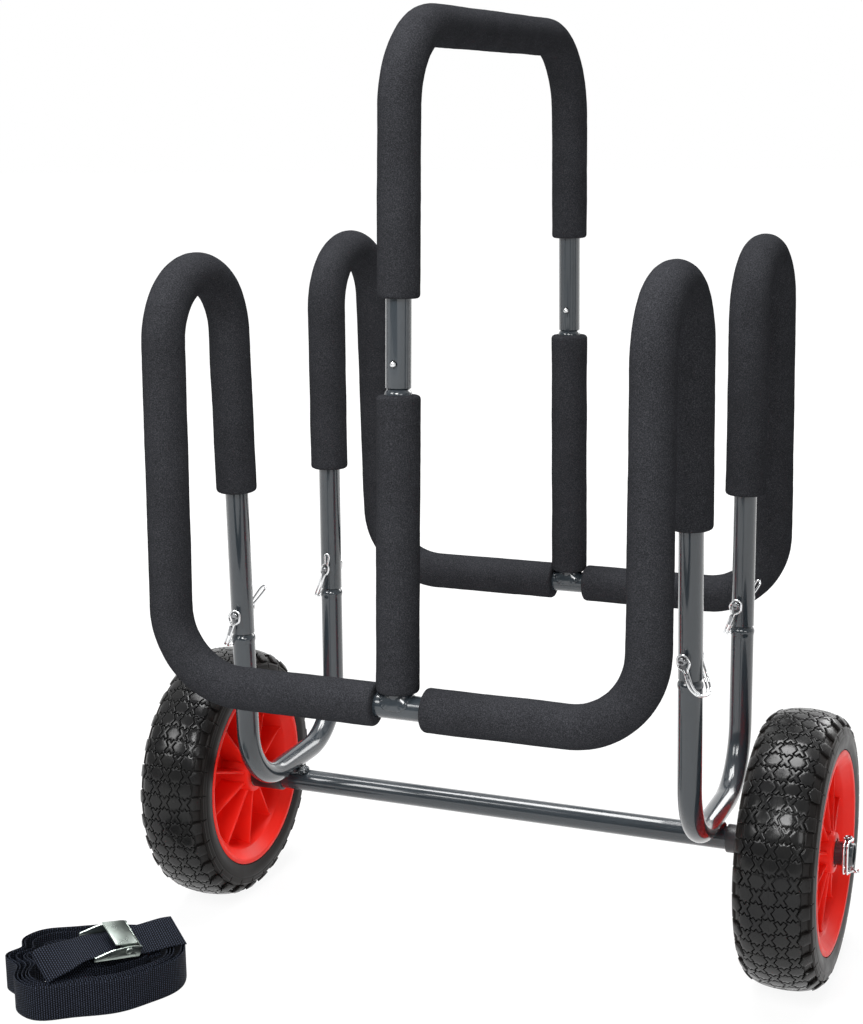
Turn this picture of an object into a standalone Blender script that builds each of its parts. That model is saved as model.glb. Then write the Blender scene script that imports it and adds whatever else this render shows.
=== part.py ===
"""Double paddleboard cart: it carries two boards on edge, one each side of a tall handle, on two wheels.

Two padded cradle tubes stand on U brackets welded to the axle, held by wire lock pins. The handle loop slips
over two posts on the cradles and is held by sprung snap buttons. A tie-down strap lies beside the cart.

Metres. X runs along the axle to the right-hand wheel, Y to the rear, Z up. The origin is on the floor,
under the middle of the axle.
"""
import math

import bmesh
import bpy
from mathutils import Matrix, Vector

CART_NAME = "double_paddleboard_cart"
GAP = 0.0003

# Tube and foam
TUBE_R = 0.0127
TUBE_SIDES = 10
NECK_R = 0.0106
NECK_BORE_R = 0.0113
FOAM_R = 0.0223
HANDLE_FOAM_R = 0.0211
POST_FOAM_R = 0.0218
FOAM_BORE_R = 0.0141
FOAM_SIDES = 10
FOAM_BORE_SIDES = 8
BEND_STEP = math.radians(22.5)

# Wheels and axle
WHEEL_R = 0.150
WHEEL_X = 0.350
TYRE_HALF_W = 0.0423
RIM_HALF_W = 0.0400
RIM_LIP_R = 0.1097
RIM_FINS = 10
FIN_T = 0.0026
FIN_START = math.radians(18)
HUB_R = 0.0228
AXLE_END_X = 0.409
AXLE_BORE_R = 0.0110
AXLE_BORE_DEPTH = 0.040
SPACER_R = 0.0155
RUNNING_BORE_R = 0.01301

# Brackets, cradles and handle
SIDE_X = 0.258
LEG_Y = 0.1125
LEG_SPLAY = 0.020
BRACKET_BEND_R = 0.072
NECK_Z = {-1: 0.3626, 1: 0.3593}
NECK_LENGTH = 0.055
SHOULDER = 0.0075
CRADLE_Y = 0.268
UPRIGHT_LEAN = 0.028
BAR_Z = 0.352
HOOK_TOP_Z = 0.772
HOOK_BEND_R = 0.0680
CORNER_BEND_R = 0.080
LEG_FOAM_Z = {"front": (0.526, 0.520), "rear": (0.510, 0.510)}
BAR_FOAM_X = {"front": (-0.0222, 0.0298), "rear": (-0.0213, 0.0213)}
POST_JOINT_Z = 0.6700
POST_NECK_LENGTH = 0.066
FRONT_POST_LEAN = 0.054
REAR_POST_LEAN = 0.006
HANDLE_TOP_Z = 1.017
HANDLE_BEND_R = 0.088
HANDLE_FOAM_FRONT_Z = 0.757
HANDLE_FOAM_REAR_Z = 0.782
POST_FOAM_Z = (0.3672, 0.6640)

# Lock pins, bails and snap buttons
PIN_R = 0.00315
PIN_HOLE_R = 0.0038
PIN_HEAD_R = 0.0042
PIN_HALF = 0.0205
PIN_Z = 0.3865
RIGHT_PIN_TURN = math.radians(12)
WIRE_R = 0.0010
EYE_S = 0.0175
BAIL_LEAN = math.radians(20)
FINGER_BEND = math.radians(25)
STRAND_HALF = 0.00135
AXLE_PIN_X = 0.4026
FERRULE = (0.0062, 0.0130, 0.0036)
FERRULE_START = 0.0114
BUTTON_R = 0.0032
BUTTON_TOP = 0.0159
BUTTON_Z = 0.695

# Tie-down strap
WEB_W = 0.038
WEB_T = 0.0015
HANK_CENTRE = (-0.3587, -0.2946)
HANK_TURN = math.radians(30)
HANK_HALF = (0.1025, 0.0735)
HANK_SQUARE = 2.4
HANK_START = math.radians(70)
HANK_TURNS = 5
HANK_PITCH = 0.0036
HANK_DENTS = ((-38, 24, -0.11), (-128, 17, 0.08), (-174, 12, -0.15), (161, 9, 0.06), (146, 6, -0.09),
              (130, 12, 0.05))
HANK_SQUEEZE = (95, 66, 0.038)
HANK_SQUEEZE_TURNS = (1.9, 0.8)
BUCKLE_CENTRE = (-0.3346, -0.3003, 0.0549)
BUCKLE_TURN = (math.radians(19.3), math.radians(9.0), math.radians(58.9))
BUCKLE_PIVOT = (0.0126, 0.00755)

for thing in list(bpy.data.objects):
    bpy.data.objects.remove(thing, do_unlink=True)

CART = bpy.data.collections.new(CART_NAME)
CUTTERS = bpy.data.collections.new("cutters")
bpy.context.scene.collection.children.link(CART)
bpy.context.scene.collection.children.link(CUTTERS)


def material(name, colour, roughness, metallic=0.0):
    mat = bpy.data.materials.new(name)
    mat.use_nodes = True
    shader = mat.node_tree.nodes["Principled BSDF"]
    shader.inputs["Base Color"].default_value = (*colour, 1.0)
    shader.inputs["Roughness"].default_value = roughness
    shader.inputs["Metallic"].default_value = metallic
    return mat


STEEL = material("grey_powder_coat", (0.075, 0.082, 0.088), 0.35, 0.3)
FOAM = material("black_foam", (0.012, 0.012, 0.013), 0.95)
TYRE = material("tyre_rubber", (0.012, 0.012, 0.012), 0.45)
RED = material("red_plastic", (0.72, 0.022, 0.012), 0.35)
CHROME = material("chrome_wire", (0.75, 0.76, 0.78), 0.12, 1.0)
ZINC = material("zinc_plate", (0.55, 0.57, 0.58), 0.28, 1.0)
BLACK = material("black_plastic", (0.02, 0.02, 0.022), 0.4)
BEARING = material("nylon_bush", (0.70, 0.69, 0.64), 0.5)
WEBBING = material("black_webbing", (0.014, 0.014, 0.018), 0.85)


def place(obj, mat=None, cutter=False):
    """Links an object where it belongs and gives it its material."""
    for coll in list(obj.users_collection):
        coll.objects.unlink(obj)
    (CUTTERS if cutter else CART).objects.link(obj)
    if cutter:
        obj.hide_render = True
        obj.display_type = "WIRE"
    if mat is not None:
        obj.data.materials.clear()
        obj.data.materials.append(mat)
    return obj


def object_from(bm, name, mat, cutter=False):
    mesh = bpy.data.meshes.new(name)
    bm.to_mesh(mesh)
    bm.free()
    return place(bpy.data.objects.new(name, mesh), mat, cutter)


def smooth(obj, angle=math.radians(40)):
    obj.data.shade_smooth()
    obj.data.set_sharp_from_angle(angle=angle)
    return obj


def sweep(name, points, radius, mat, sides=TUBE_SIDES, factors=None, closed=False, cutter=False):
    """A round bar along a line of points, as a mesh with welded caps."""
    curve = bpy.data.curves.new(name, "CURVE")
    curve.dimensions = "3D"
    curve.bevel_depth = radius
    curve.bevel_resolution = (sides - 4) // 2
    curve.use_fill_caps = not closed
    spline = curve.splines.new("POLY")
    spline.points.add(len(points) - 1)
    for i, point in enumerate(points):
        spline.points[i].co = (*point, 1.0)
        spline.points[i].radius = factors[i] if factors else 1.0
    spline.use_cyclic_u = closed
    holder = bpy.data.objects.new(name, curve)
    bpy.context.scene.collection.objects.link(holder)
    bpy.context.view_layer.update()
    mesh = bpy.data.meshes.new_from_object(holder.evaluated_get(bpy.context.evaluated_depsgraph_get()))
    bpy.data.objects.remove(holder, do_unlink=True)
    bpy.data.curves.remove(curve)
    bm = bmesh.new()
    bm.from_mesh(mesh)
    bpy.data.meshes.remove(mesh)
    bmesh.ops.remove_doubles(bm, verts=bm.verts, dist=1e-6)
    bmesh.ops.recalc_face_normals(bm, faces=bm.faces)
    return smooth(object_from(bm, name, mat, cutter))


def turned(name, profile, centre, axis, mat, steps=32, cutter=False):
    """A solid turned about an axis. The profile lists (along, radius) pairs down the outer side."""
    mesh = bpy.data.meshes.new(name)
    points = [(radius, 0.0, -along) for along, radius in profile]
    closed = profile[0][1] > 0 and profile[-1][1] > 0
    edges = [(i, i + 1) for i in range(len(points) - 1)]
    if closed:
        edges.append((len(points) - 1, 0))
    mesh.from_pydata(points, edges, [])
    obj = place(bpy.data.objects.new(name, mesh), mat, cutter)
    screw = obj.modifiers.new("turn", "SCREW")
    screw.steps = steps
    screw.render_steps = steps
    screw.use_merge_vertices = True
    screw.merge_threshold = 1e-5
    screw.use_smooth_shade = True
    turn = Vector(axis).to_track_quat("-Z", "Y").to_matrix().to_4x4()
    obj.matrix_world = Matrix.Translation(centre) @ turn
    return baked(obj)


def baked(obj):
    """Applies an object's modifiers and its place, so that its mesh stands in world space."""
    bpy.context.view_layer.update()
    graph = bpy.context.evaluated_depsgraph_get()
    mesh = bpy.data.meshes.new_from_object(obj.evaluated_get(graph))
    mesh.transform(obj.matrix_world)
    old = obj.data
    obj.modifiers.clear()
    obj.data = mesh
    obj.matrix_world = Matrix.Identity(4)
    if isinstance(old, bpy.types.Mesh):
        bpy.data.meshes.remove(old)
    bm = bmesh.new()
    bm.from_mesh(mesh)
    bmesh.ops.remove_doubles(bm, verts=bm.verts, dist=1e-6)
    bmesh.ops.recalc_face_normals(bm, faces=bm.faces)
    bm.to_mesh(mesh)
    bm.free()
    return smooth(obj)


def combine(obj, others, operation="DIFFERENCE"):
    """Cuts or joins meshes with the exact solver and removes the ones that were used."""
    for other in others:
        step = obj.modifiers.new(operation.lower(), "BOOLEAN")
        step.operation = operation
        step.object = other
        step.solver = "EXACT"
    obj = baked(obj)
    for other in others:
        bpy.data.objects.remove(other, do_unlink=True)
    return obj


def put_origin(obj, point):
    """Sets an object's origin on its joint's axis, with its mesh left where it is."""
    obj.data.transform(Matrix.Translation(-Vector(point)))
    obj.location = point
    return obj


def rounded(corners, radii):
    """A line through corner points with each inner corner rounded to its radius."""
    out = [Vector(corners[0])]
    for i in range(1, len(corners) - 1):
        here = Vector(corners[i])
        before = (Vector(corners[i - 1]) - here).normalized()
        after = (Vector(corners[i + 1]) - here).normalized()
        turn = math.pi - before.angle(after)
        reach = radii[i - 1] * math.tan(turn / 2)
        centre = here + (before + after).normalized() * (radii[i - 1] / math.cos(turn / 2))
        start = here + before * reach - centre
        axis = start.cross(here + after * reach - centre).normalized()
        count = max(2, round(turn / BEND_STEP))
        for k in range(count + 1):
            out.append(centre + Matrix.Rotation(turn * k / count, 3, axis) @ start)
    out.append(Vector(corners[-1]))
    kept = [out[0]]
    for point in out[1:]:
        if (point - kept[-1]).length > 1e-4:
            kept.append(point)
    return kept


def arc_lengths(points):
    total = [0.0]
    for a, b in zip(points, points[1:]):
        total.append(total[-1] + (b - a).length)
    return total


def point_at(points, distance):
    total = arc_lengths(points)
    for i in range(len(points) - 1):
        if distance <= total[i + 1] or i == len(points) - 2:
            share = (distance - total[i]) / (total[i + 1] - total[i])
            return points[i].lerp(points[i + 1], share)
    return points[-1]


def stretch(points, first, last):
    """The part of a line between two distances along it, both of which may lie past its ends."""
    total = arc_lengths(points)
    inner = [p for p, t in zip(points, total) if first + 5e-4 < t < last - 5e-4]
    return [point_at(points, first), *inner, point_at(points, last)]


def distance_where(points, index, value, from_end=False):
    """How far along a line its coordinate first passes a value."""
    total = arc_lengths(points)
    order = range(len(points) - 1)
    for i in (reversed(order) if from_end else order):
        low, high = sorted((points[i][index], points[i + 1][index]))
        if low <= value <= high and high - low > 1e-9:
            share = (value - points[i][index]) / (points[i + 1][index] - points[i][index])
            return total[i] + share * (total[i + 1] - total[i])
    raise ValueError("the line doesn't pass there")


def foam_sleeve(name, line, first, last, radius):
    """A foam sleeve on a tube, bored through, with softly rounded ends."""
    body = stretch(line, first, last)
    ends = ((0.0, 0.82), (0.0024, 0.94), (0.008, 1.0))
    head = [(point_at(body, d), f) for d, f in ends]
    length = arc_lengths(body)[-1]
    tail = [(point_at(body, length - d), f) for d, f in reversed(ends)]
    total = arc_lengths(body)
    middle = [(p, 1.0) for p, t in zip(body, total) if 0.010 < t < length - 0.010]
    run = head + middle + tail
    outer = sweep(name, [p for p, _ in run], radius, FOAM, FOAM_SIDES, [f for _, f in run])
    bore = sweep(name + "_bore", stretch(line, first - 0.004, last + 0.004), FOAM_BORE_R, None,
                 FOAM_BORE_SIDES, cutter=True)
    return combine(outer, [bore])


def drill(start, end, radius, sides=10):
    """A cutter for a straight hole, turned a little so that its corners miss the tube's."""
    along = Vector(end) - Vector(start)
    bm = bmesh.new()
    bmesh.ops.create_cone(bm, segments=sides, radius1=radius, radius2=radius, depth=along.length,
                          cap_ends=True)
    spin = along.to_track_quat("Z", "Y").to_matrix().to_4x4() @ Matrix.Rotation(0.11, 4, "Z")
    middle = (Vector(start) + Vector(end)) / 2
    bmesh.ops.transform(bm, matrix=Matrix.Translation(middle) @ spin, verts=bm.verts)
    return object_from(bm, "drill", None, cutter=True)


def leg_bores(line, depth):
    """Cutters for the bores in both ends of a bent tube, where it slips over a neck."""
    end = arc_lengths(line)[-1]
    return [drill(point_at(line, -0.004), point_at(line, depth), NECK_BORE_R),
            drill(point_at(line, end + 0.004), point_at(line, end - depth), NECK_BORE_R)]


def pin_cutter(centre, axis):
    along = Vector(axis).normalized() * 0.030
    return drill(Vector(centre) - along, Vector(centre) + along, PIN_HOLE_R, 8)


# Lines of the bent tubes

def leg_y(z):
    return LEG_Y + LEG_SPLAY * (z - 0.300)


def upright_y(z):
    return CRADLE_Y - UPRIGHT_LEAN * (z - 0.350)


def bracket_line(side):
    """Up one leg of a U bracket, down the other, front to rear."""
    low_z = WHEEL_R + 2 * TUBE_R + GAP
    x = side * SIDE_X
    front_z, rear_z = NECK_Z[-1] - SHOULDER, NECK_Z[1] - SHOULDER
    corners = [(x, -leg_y(front_z), front_z), (x, -leg_y(low_z), low_z),
               (x, leg_y(low_z), low_z), (x, leg_y(rear_z), rear_z)]
    return rounded(corners, [BRACKET_BEND_R, BRACKET_BEND_R])


def cradle_line(facing):
    """From the left leg's end over its hook, down, along the bottom bar, and the same way up on the right."""
    half = []
    for z in (NECK_Z[facing] + GAP * 2, HOOK_TOP_Z):
        half.append((leg_y(z), z))
    for z in (HOOK_TOP_Z, BAR_Z):
        half.append((upright_y(z), z))
    left = [(-SIDE_X, facing * y, z) for y, z in half]
    right = [(SIDE_X, facing * y, z) for y, z in reversed(half)]
    bends = [HOOK_BEND_R, HOOK_BEND_R, CORNER_BEND_R]
    return rounded(left + right, bends + bends[::-1])


def post_y(facing, z):
    """A post's place, front or rear, and the handle leg's above it."""
    lean = FRONT_POST_LEAN if facing < 0 else -REAR_POST_LEAN
    return facing * (CRADLE_Y - lean * (z - BAR_Z))


def handle_line():
    low = POST_JOINT_Z + GAP
    corners = [(0.0, post_y(-1, low), low), (0.0, post_y(-1, HANDLE_TOP_Z), HANDLE_TOP_Z),
               (0.0, post_y(1, HANDLE_TOP_Z), HANDLE_TOP_Z), (0.0, post_y(1, low), low)]
    return rounded(corners, [HANDLE_BEND_R, HANDLE_BEND_R])


# Lock pins

PIN_SPOTS = {
    "front_left": dict(x=-SIDE_X, facing=-1, head=-1, wrap=-1, turn=0.0, splay=0.30),
    "front_right": dict(x=SIDE_X, facing=-1, head=-1, wrap=1, turn=RIGHT_PIN_TURN, splay=0.0),
    "rear_left": dict(x=-SIDE_X, facing=1, head=1, wrap=-1, turn=0.0, splay=0.0),
    "rear_right": dict(x=SIDE_X, facing=1, head=-1, wrap=-1, turn=RIGHT_PIN_TURN, splay=0.0),
}


def leg_pin_frame(spot):
    """Centre of a leg's pin, its direction from head to tip, and the side that its bail goes round."""
    centre = Vector((spot["x"], spot["facing"] * leg_y(PIN_Z), PIN_Z))
    along = Matrix.Rotation(-spot["turn"], 3, "Z") @ Vector((0.0, -spot["head"], 0.0))
    side = Matrix.Rotation(-spot["turn"], 3, "Z") @ Vector((spot["wrap"], 0.0, 0.0))
    return centre, along, side


def lock_pin(name, centre, along):
    """A quarter-inch pin with a domed head and a groove for its bail's eye."""
    profile = [(-PIN_HALF, 0.0), (-PIN_HALF + 0.0006, 0.0030), (-EYE_S - 0.0013, PIN_HEAD_R),
               (-EYE_S - 0.0013, PIN_R), (-EYE_S + 0.0013, PIN_R), (-EYE_S + 0.0013, PIN_HEAD_R),
               (-EYE_S + 0.0030, PIN_HEAD_R), (-EYE_S + 0.0030, PIN_R), (PIN_HALF - 0.0015, PIN_R),
               (PIN_HALF, 0.0)]
    pin = turned(name, profile, centre, along, CHROME, 10)
    return put_origin(pin, centre)


LEG_EYE = ((-0.0062, 0.0), (-0.0044, 0.0044), (0.0006, 0.0062), (0.0046, 0.0052), (0.0100, STRAND_HALF))
AXLE_EYE = ((-0.0047, 0.0), (-0.0030, 0.0037), (0.0022, 0.0046), (0.0084, STRAND_HALF))
TIP_EYE = ((0.0090, STRAND_HALF), (0.0032, 0.0046))
FINGER_ON = ((-0.0036, 0.0042), (-0.0075, 0.0018), (-0.0120, 0.0021), (-0.0205, 0.0026), (-0.0232, 0.0),
             (-0.0205, -0.0026), (-0.0120, -0.0021), (-0.0075, -0.0018), (-0.0036, -0.0042))
FINGER_ACROSS = ((0.0020, 0.0086), (0.0032, 0.0165), (0.0, 0.0195), (-0.0032, 0.0165), (-0.0022, 0.0086),
                 (-0.0046, 0.0030), (-0.0038, -0.0036))
FINGER_ROOT = 0.0050


def bent_finger(splay):
    """The leg bails' finger loop as (along, away, across): bent off the tube, and leaning to one side."""
    loop = []
    for away, across in FINGER_ON:
        past = max(0.0, -away - FINGER_ROOT)
        loop.append((EYE_S + past * math.sin(FINGER_BEND), away + past * (1 - math.cos(FINGER_BEND)),
                     across - past * splay))
    return loop


def bail(name, centre, along, away, across, eye, bridge, finger):
    """A wire bail. The eye round the pin's head lists (away, half gap) points of one strand.

    The bridge lists (along, away, across) points of the middle line, head to tip. The finger loop past the
    pin's tip lists (along, away, across) points of the wire itself.
    """

    def spot(s, u, g):
        return Vector(centre) + along * s + away * u + across * g

    sides = []
    for sign in (1, -1):
        strand = [spot(-EYE_S, u, sign * g) for u, g in eye]
        strand += [spot(s, u, a + sign * STRAND_HALF) for s, u, a in bridge]
        strand += [spot(EYE_S, u, sign * g) for u, g in TIP_EYE]
        sides.append(strand)
    loop = sides[0] + [spot(*point) for point in finger] + sides[1][:0:-1]
    wire = sweep(name, loop, WIRE_R, CHROME, 6, closed=True)
    return put_origin(wire, centre)


def ferrule(name, centre, start, end, across):
    """A flat sleeve crimped round both strands of a bail."""
    axis = (end - start).normalized()
    depth = axis.cross(across).normalized()
    frame = Matrix((across.normalized(), axis, depth)).transposed().to_4x4()
    frame.translation = (start + end) / 2
    bm = bmesh.new()
    bmesh.ops.create_cube(bm, size=1.0)
    bmesh.ops.scale(bm, vec=FERRULE, verts=bm.verts)
    long = [e for e in bm.edges if abs(e.verts[0].co.y - e.verts[1].co.y) > 0.001]
    bmesh.ops.bevel(bm, geom=long, offset=0.0008, segments=1, affect="EDGES")
    body = object_from(bm, name, CHROME)
    bm = bmesh.new()
    bmesh.ops.create_cube(bm, size=1.0)
    hole = (2 * (STRAND_HALF + WIRE_R) + 0.0005, FERRULE[1] * 2, 2 * WIRE_R + 0.0005)
    bmesh.ops.scale(bm, vec=hole, verts=bm.verts)
    slot = object_from(bm, name + "_slot", None, cutter=True)
    body.matrix_world = frame
    slot.matrix_world = frame
    body = combine(body, [slot])
    return put_origin(body, centre)


def leg_pin_set(place_name, spot):
    centre, along, side = leg_pin_frame(spot)
    down = Vector((0.0, 0.0, -1.0))
    away = (down * math.cos(BAIL_LEAN) + side * math.sin(BAIL_LEAN)).normalized()
    across = (side * math.cos(BAIL_LEAN) - down * math.sin(BAIL_LEAN)).normalized()
    bridge = [(-EYE_S, 0.0248, 0.0), (-0.0130, 0.0335, 0.0030), (-0.0060, 0.0375, 0.0060),
              (0.0060, 0.0375, 0.0060), (0.0130, 0.0330, 0.0030), (EYE_S, 0.0225, 0.0)]
    lock_pin(place_name + "_lock_pin", centre, along)
    bail(place_name + "_pin_bail", centre, along, away, across, LEG_EYE, bridge, bent_finger(spot["splay"]))
    start = centre - along * EYE_S + away * FERRULE_START
    ferrule(place_name + "_bail_ferrule", centre, start, start + away * FERRULE[1], across)


def axle_pin_set(place_name, side):
    centre = Vector((side * AXLE_PIN_X, 0.0, WHEEL_R))
    along = Vector((0.0, 0.0, -1.0))
    away = Vector((0.0, -1.0, 0.0))
    across = Vector((side, 0.0, 0.0))
    bridge = [(-EYE_S + 0.0010, 0.0135, 0.0), (-0.0118, 0.0166, 0.0), (0.0118, 0.0166, 0.0),
              (EYE_S - 0.0010, 0.0135, 0.0)]
    lock_pin(place_name + "_axle_pin", centre, along)
    finger = [(EYE_S, u, g) for u, g in FINGER_ACROSS]
    bail(place_name + "_axle_pin_bail", centre, along, away, across, AXLE_EYE, bridge, finger)
    middle = centre + away * 0.0166
    half = along * FERRULE[1] / 2
    ferrule(place_name + "_axle_bail_ferrule", centre, middle - half, middle + half, across)


# Frame

def axle():
    profile = [(-AXLE_END_X, 0.0), (-AXLE_END_X, TUBE_R), (AXLE_END_X, TUBE_R), (AXLE_END_X, 0.0)]
    bar = turned("axle_tube", profile, (0, 0, WHEEL_R), (1, 0, 0), STEEL, 16)
    cutters = []
    for side in (-1, 1):
        inner = Vector((side * (AXLE_END_X - AXLE_BORE_DEPTH), 0.0, WHEEL_R))
        outer = Vector((side * (AXLE_END_X + 0.010), 0.0, WHEEL_R))
        cutters.append(drill(inner, outer, AXLE_BORE_R, 12))
        cutters.append(pin_cutter((side * AXLE_PIN_X, 0.0, WHEEL_R), (0, 0, 1)))
    return combine(bar, cutters)


def brackets():
    for side, name in ((-1, "left"), (1, "right")):
        line = bracket_line(side)
        neck = [(0.0, 1.0), (0.0040, 0.975), (0.0066, 0.90), (SHOULDER, NECK_R / TUBE_R),
                (SHOULDER + NECK_LENGTH, NECK_R / TUBE_R), (SHOULDER + 0.002 + NECK_LENGTH, 0.74)]
        first = [(line[0] + (line[0] - line[1]).normalized() * d, f) for d, f in reversed(neck)]
        last = [(line[-1] + (line[-1] - line[-2]).normalized() * d, f) for d, f in neck]
        run = first + [(p, 1.0) for p in line[1:-1]] + last
        bracket = sweep(name + "_u_bracket", [p for p, _ in run], TUBE_R, STEEL, factors=[f for _, f in run])
        holes = []
        for spot in PIN_SPOTS.values():
            if spot["x"] * side > 0:
                centre, along, _ = leg_pin_frame(spot)
                holes.append(pin_cutter(centre, along))
        combine(bracket, holes)
        bracket_weld(name + "_bracket_weld", side)


def bracket_weld(name, side):
    """The weld bead in the crevice where a U bracket crosses the axle."""
    contact = Vector((side * SIDE_X, 0.0, WHEEL_R + TUBE_R + GAP / 2))
    bm = bmesh.new()
    bmesh.ops.create_uvsphere(bm, u_segments=12, v_segments=6, radius=0.0108)
    bmesh.ops.scale(bm, vec=(1.0, 1.0, 0.50), verts=bm.verts)
    bmesh.ops.translate(bm, vec=contact, verts=bm.verts)
    bead = object_from(bm, name, STEEL)
    reach = Vector((0.03, 0.0, 0.0))
    low = contact - Vector((0.0, 0.0, TUBE_R + GAP / 2))
    high = contact + Vector((0.0, 0.0, TUBE_R + GAP / 2))
    under = sweep("axle_clear", [low - reach, low + reach], TUBE_R + GAP * 1.6, None, 16, cutter=True)
    reach = Vector((0.0, 0.03, 0.0))
    over = sweep("bracket_clear", [high - reach, high + reach], TUBE_R + GAP * 1.6, None, 16, cutter=True)
    return combine(bead, [under, over])


def cradles():
    for facing, name in ((-1, "front"), (1, "rear")):
        line = cradle_line(facing)
        end = arc_lengths(line)[-1]
        points = [line[0], point_at(line, 0.0012), *line[1:-1], point_at(line, end - 0.0012), line[-1]]
        factors = [0.94] + [1.0] * (len(points) - 2) + [0.94]
        tube = sweep(name + "_cradle_tube", points, TUBE_R, STEEL, factors=factors)
        depth = NECK_LENGTH + 0.0045
        cutters = leg_bores(line, depth)
        for spot in PIN_SPOTS.values():
            if spot["facing"] == facing:
                centre, along, _ = leg_pin_frame(spot)
                cutters.append(pin_cutter(centre, along))
        combine(tube, cutters)
        left = distance_where(line, 2, LEG_FOAM_Z[name][0])
        right = distance_where(line, 2, LEG_FOAM_Z[name][1], from_end=True)
        gap_left = distance_where(line, 0, BAR_FOAM_X[name][0])
        gap_right = distance_where(line, 0, BAR_FOAM_X[name][1])
        foam_sleeve(name + "_left_foam", line, left, gap_left, FOAM_R)
        foam_sleeve(name + "_right_foam", line, gap_right, right, FOAM_R)


def post_frame(facing):
    """The line of a mast post's axis: a point at the bottom bar and its direction upwards."""
    low = Vector((0.0, post_y(facing, BAR_Z), BAR_Z))
    up = (Vector((0.0, post_y(facing, HANDLE_TOP_Z), HANDLE_TOP_Z)) - low).normalized()
    return low, up


def posts():
    for facing, name in ((-1, "front"), (1, "rear")):
        low, up = post_frame(facing)
        joint = (POST_JOINT_Z - BAR_Z) / up.z

        def at(d):
            return low + up * d

        run = [(0.0, 1.0), (joint - 0.0075, 1.0), (joint - 0.0035, 0.975), (joint - 0.0009, 0.90),
               (joint, NECK_R / TUBE_R), (joint + POST_NECK_LENGTH, NECK_R / TUBE_R)]
        post = sweep(name + "_mast_post", [at(d) for d, _ in run], TUBE_R, STEEL, factors=[f for _, f in run])
        y = post_y(facing, BAR_Z)
        bar = sweep("bar_clear", [(-0.04, y, BAR_Z), (0.04, y, BAR_Z)], TUBE_R + GAP, None, 16, cutter=True)
        bore = drill(at(joint - 0.020), at(joint + POST_NECK_LENGTH + 0.01), 0.0092)
        button = at((BUTTON_Z - BAR_Z) / up.z)
        combine(post, [bar, bore, drill(button, button - Vector((0.0, 0.02, 0.0)), BUTTON_R + 0.0004)])
        post_weld(name + "_post_weld", facing)
        line = [at(0.0), at(joint + 0.1)]
        first, last = ((z - BAR_Z) / up.z for z in POST_FOAM_Z)
        foam_sleeve(name + "_post_foam", line, first, last, POST_FOAM_R)
        snap_button(name, button, up)


def post_weld(name, facing):
    """The weld bead round the foot of a mast post, where it sits on the bottom bar."""
    low, up = post_frame(facing)
    base = low - up * 0.002
    top = low + up * 0.0145
    profile = [(-0.00825, 0.0), (-0.00825, 0.0165), (-0.0040, 0.0172), (0.00825, 0.0137), (0.00825, 0.0)]
    bead = turned(name, profile, (base + top) / 2, up, STEEL, 16)
    y = post_y(facing, BAR_Z)
    bar = sweep("bar_clear", [(-0.04, y, BAR_Z), (0.04, y, BAR_Z)], TUBE_R + GAP * 1.6, None, 16,
                cutter=True)
    post = sweep("post_clear", [low - up * 0.03, low + up * 0.03], TUBE_R + GAP * 1.6, None, 16, cutter=True)
    below = sweep("below", [(-0.04, y, BAR_Z - 0.030), (0.04, y, BAR_Z - 0.030)], 0.0285, None, 4, cutter=True)
    return combine(bead, [bar, post, below])


def snap_button(name, button, up):
    """The button that locks the handle to a post, and the leaf spring clip behind it."""
    profile = [(-BUTTON_TOP, 0.0), (-BUTTON_TOP + 0.0007, 0.0024), (-BUTTON_TOP + 0.0022, BUTTON_R),
               (-0.0075, BUTTON_R), (-0.0075, 0.0041), (-0.0067, 0.0041), (-0.0067, 0.0)]
    knob = turned(name + "_snap_button", profile, button, (0, 1, 0), CHROME, 12)
    put_origin(knob, button)
    strip = []
    for z in (0.008, -0.036):
        strip.append((-0.0060, z))
    for k in range(1, 6):
        turn = math.pi * k / 6
        strip.append((-0.00145 - 0.00455 * math.cos(turn), -0.036 - 0.00455 * math.sin(turn)))
    for z in (-0.036, -0.006):
        strip.append((0.0031, z))
    bm = bmesh.new()
    rows = [[bm.verts.new(button + Vector((x, y, 0.0)) + up * z) for y, z in strip]
            for x in (-0.0035, 0.0035)]
    for i in range(len(strip) - 1):
        bm.faces.new((rows[0][i], rows[0][i + 1], rows[1][i + 1], rows[1][i]))
    clip = object_from(bm, name + "_button_spring", CHROME)
    shell = clip.modifiers.new("thickness", "SOLIDIFY")
    shell.thickness = 0.0007
    shell.offset = 0.0
    shell.use_even_offset = True
    put_origin(baked(clip), button)


def handle():
    line = handle_line()
    end = arc_lengths(line)[-1]
    points = [line[0], point_at(line, 0.0012), *line[1:-1], point_at(line, end - 0.0012), line[-1]]
    tube = sweep("handle_loop", points, TUBE_R, STEEL, factors=[0.94] + [1.0] * (len(points) - 2) + [0.94])
    depth = POST_NECK_LENGTH + 0.004
    cutters = leg_bores(line, depth)
    for facing in (-1, 1):
        button = Vector((0.0, post_y(facing, BUTTON_Z), BUTTON_Z))
        cutters.append(drill(button, button - Vector((0.0, 0.02, 0.0)), BUTTON_R + 0.0004))
    combine(tube, cutters)
    first = distance_where(line, 2, HANDLE_FOAM_FRONT_Z)
    last = distance_where(line, 2, HANDLE_FOAM_REAR_Z, from_end=True)
    foam_sleeve("handle_foam", line, first, last, HANDLE_FOAM_R)


# Wheels

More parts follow.
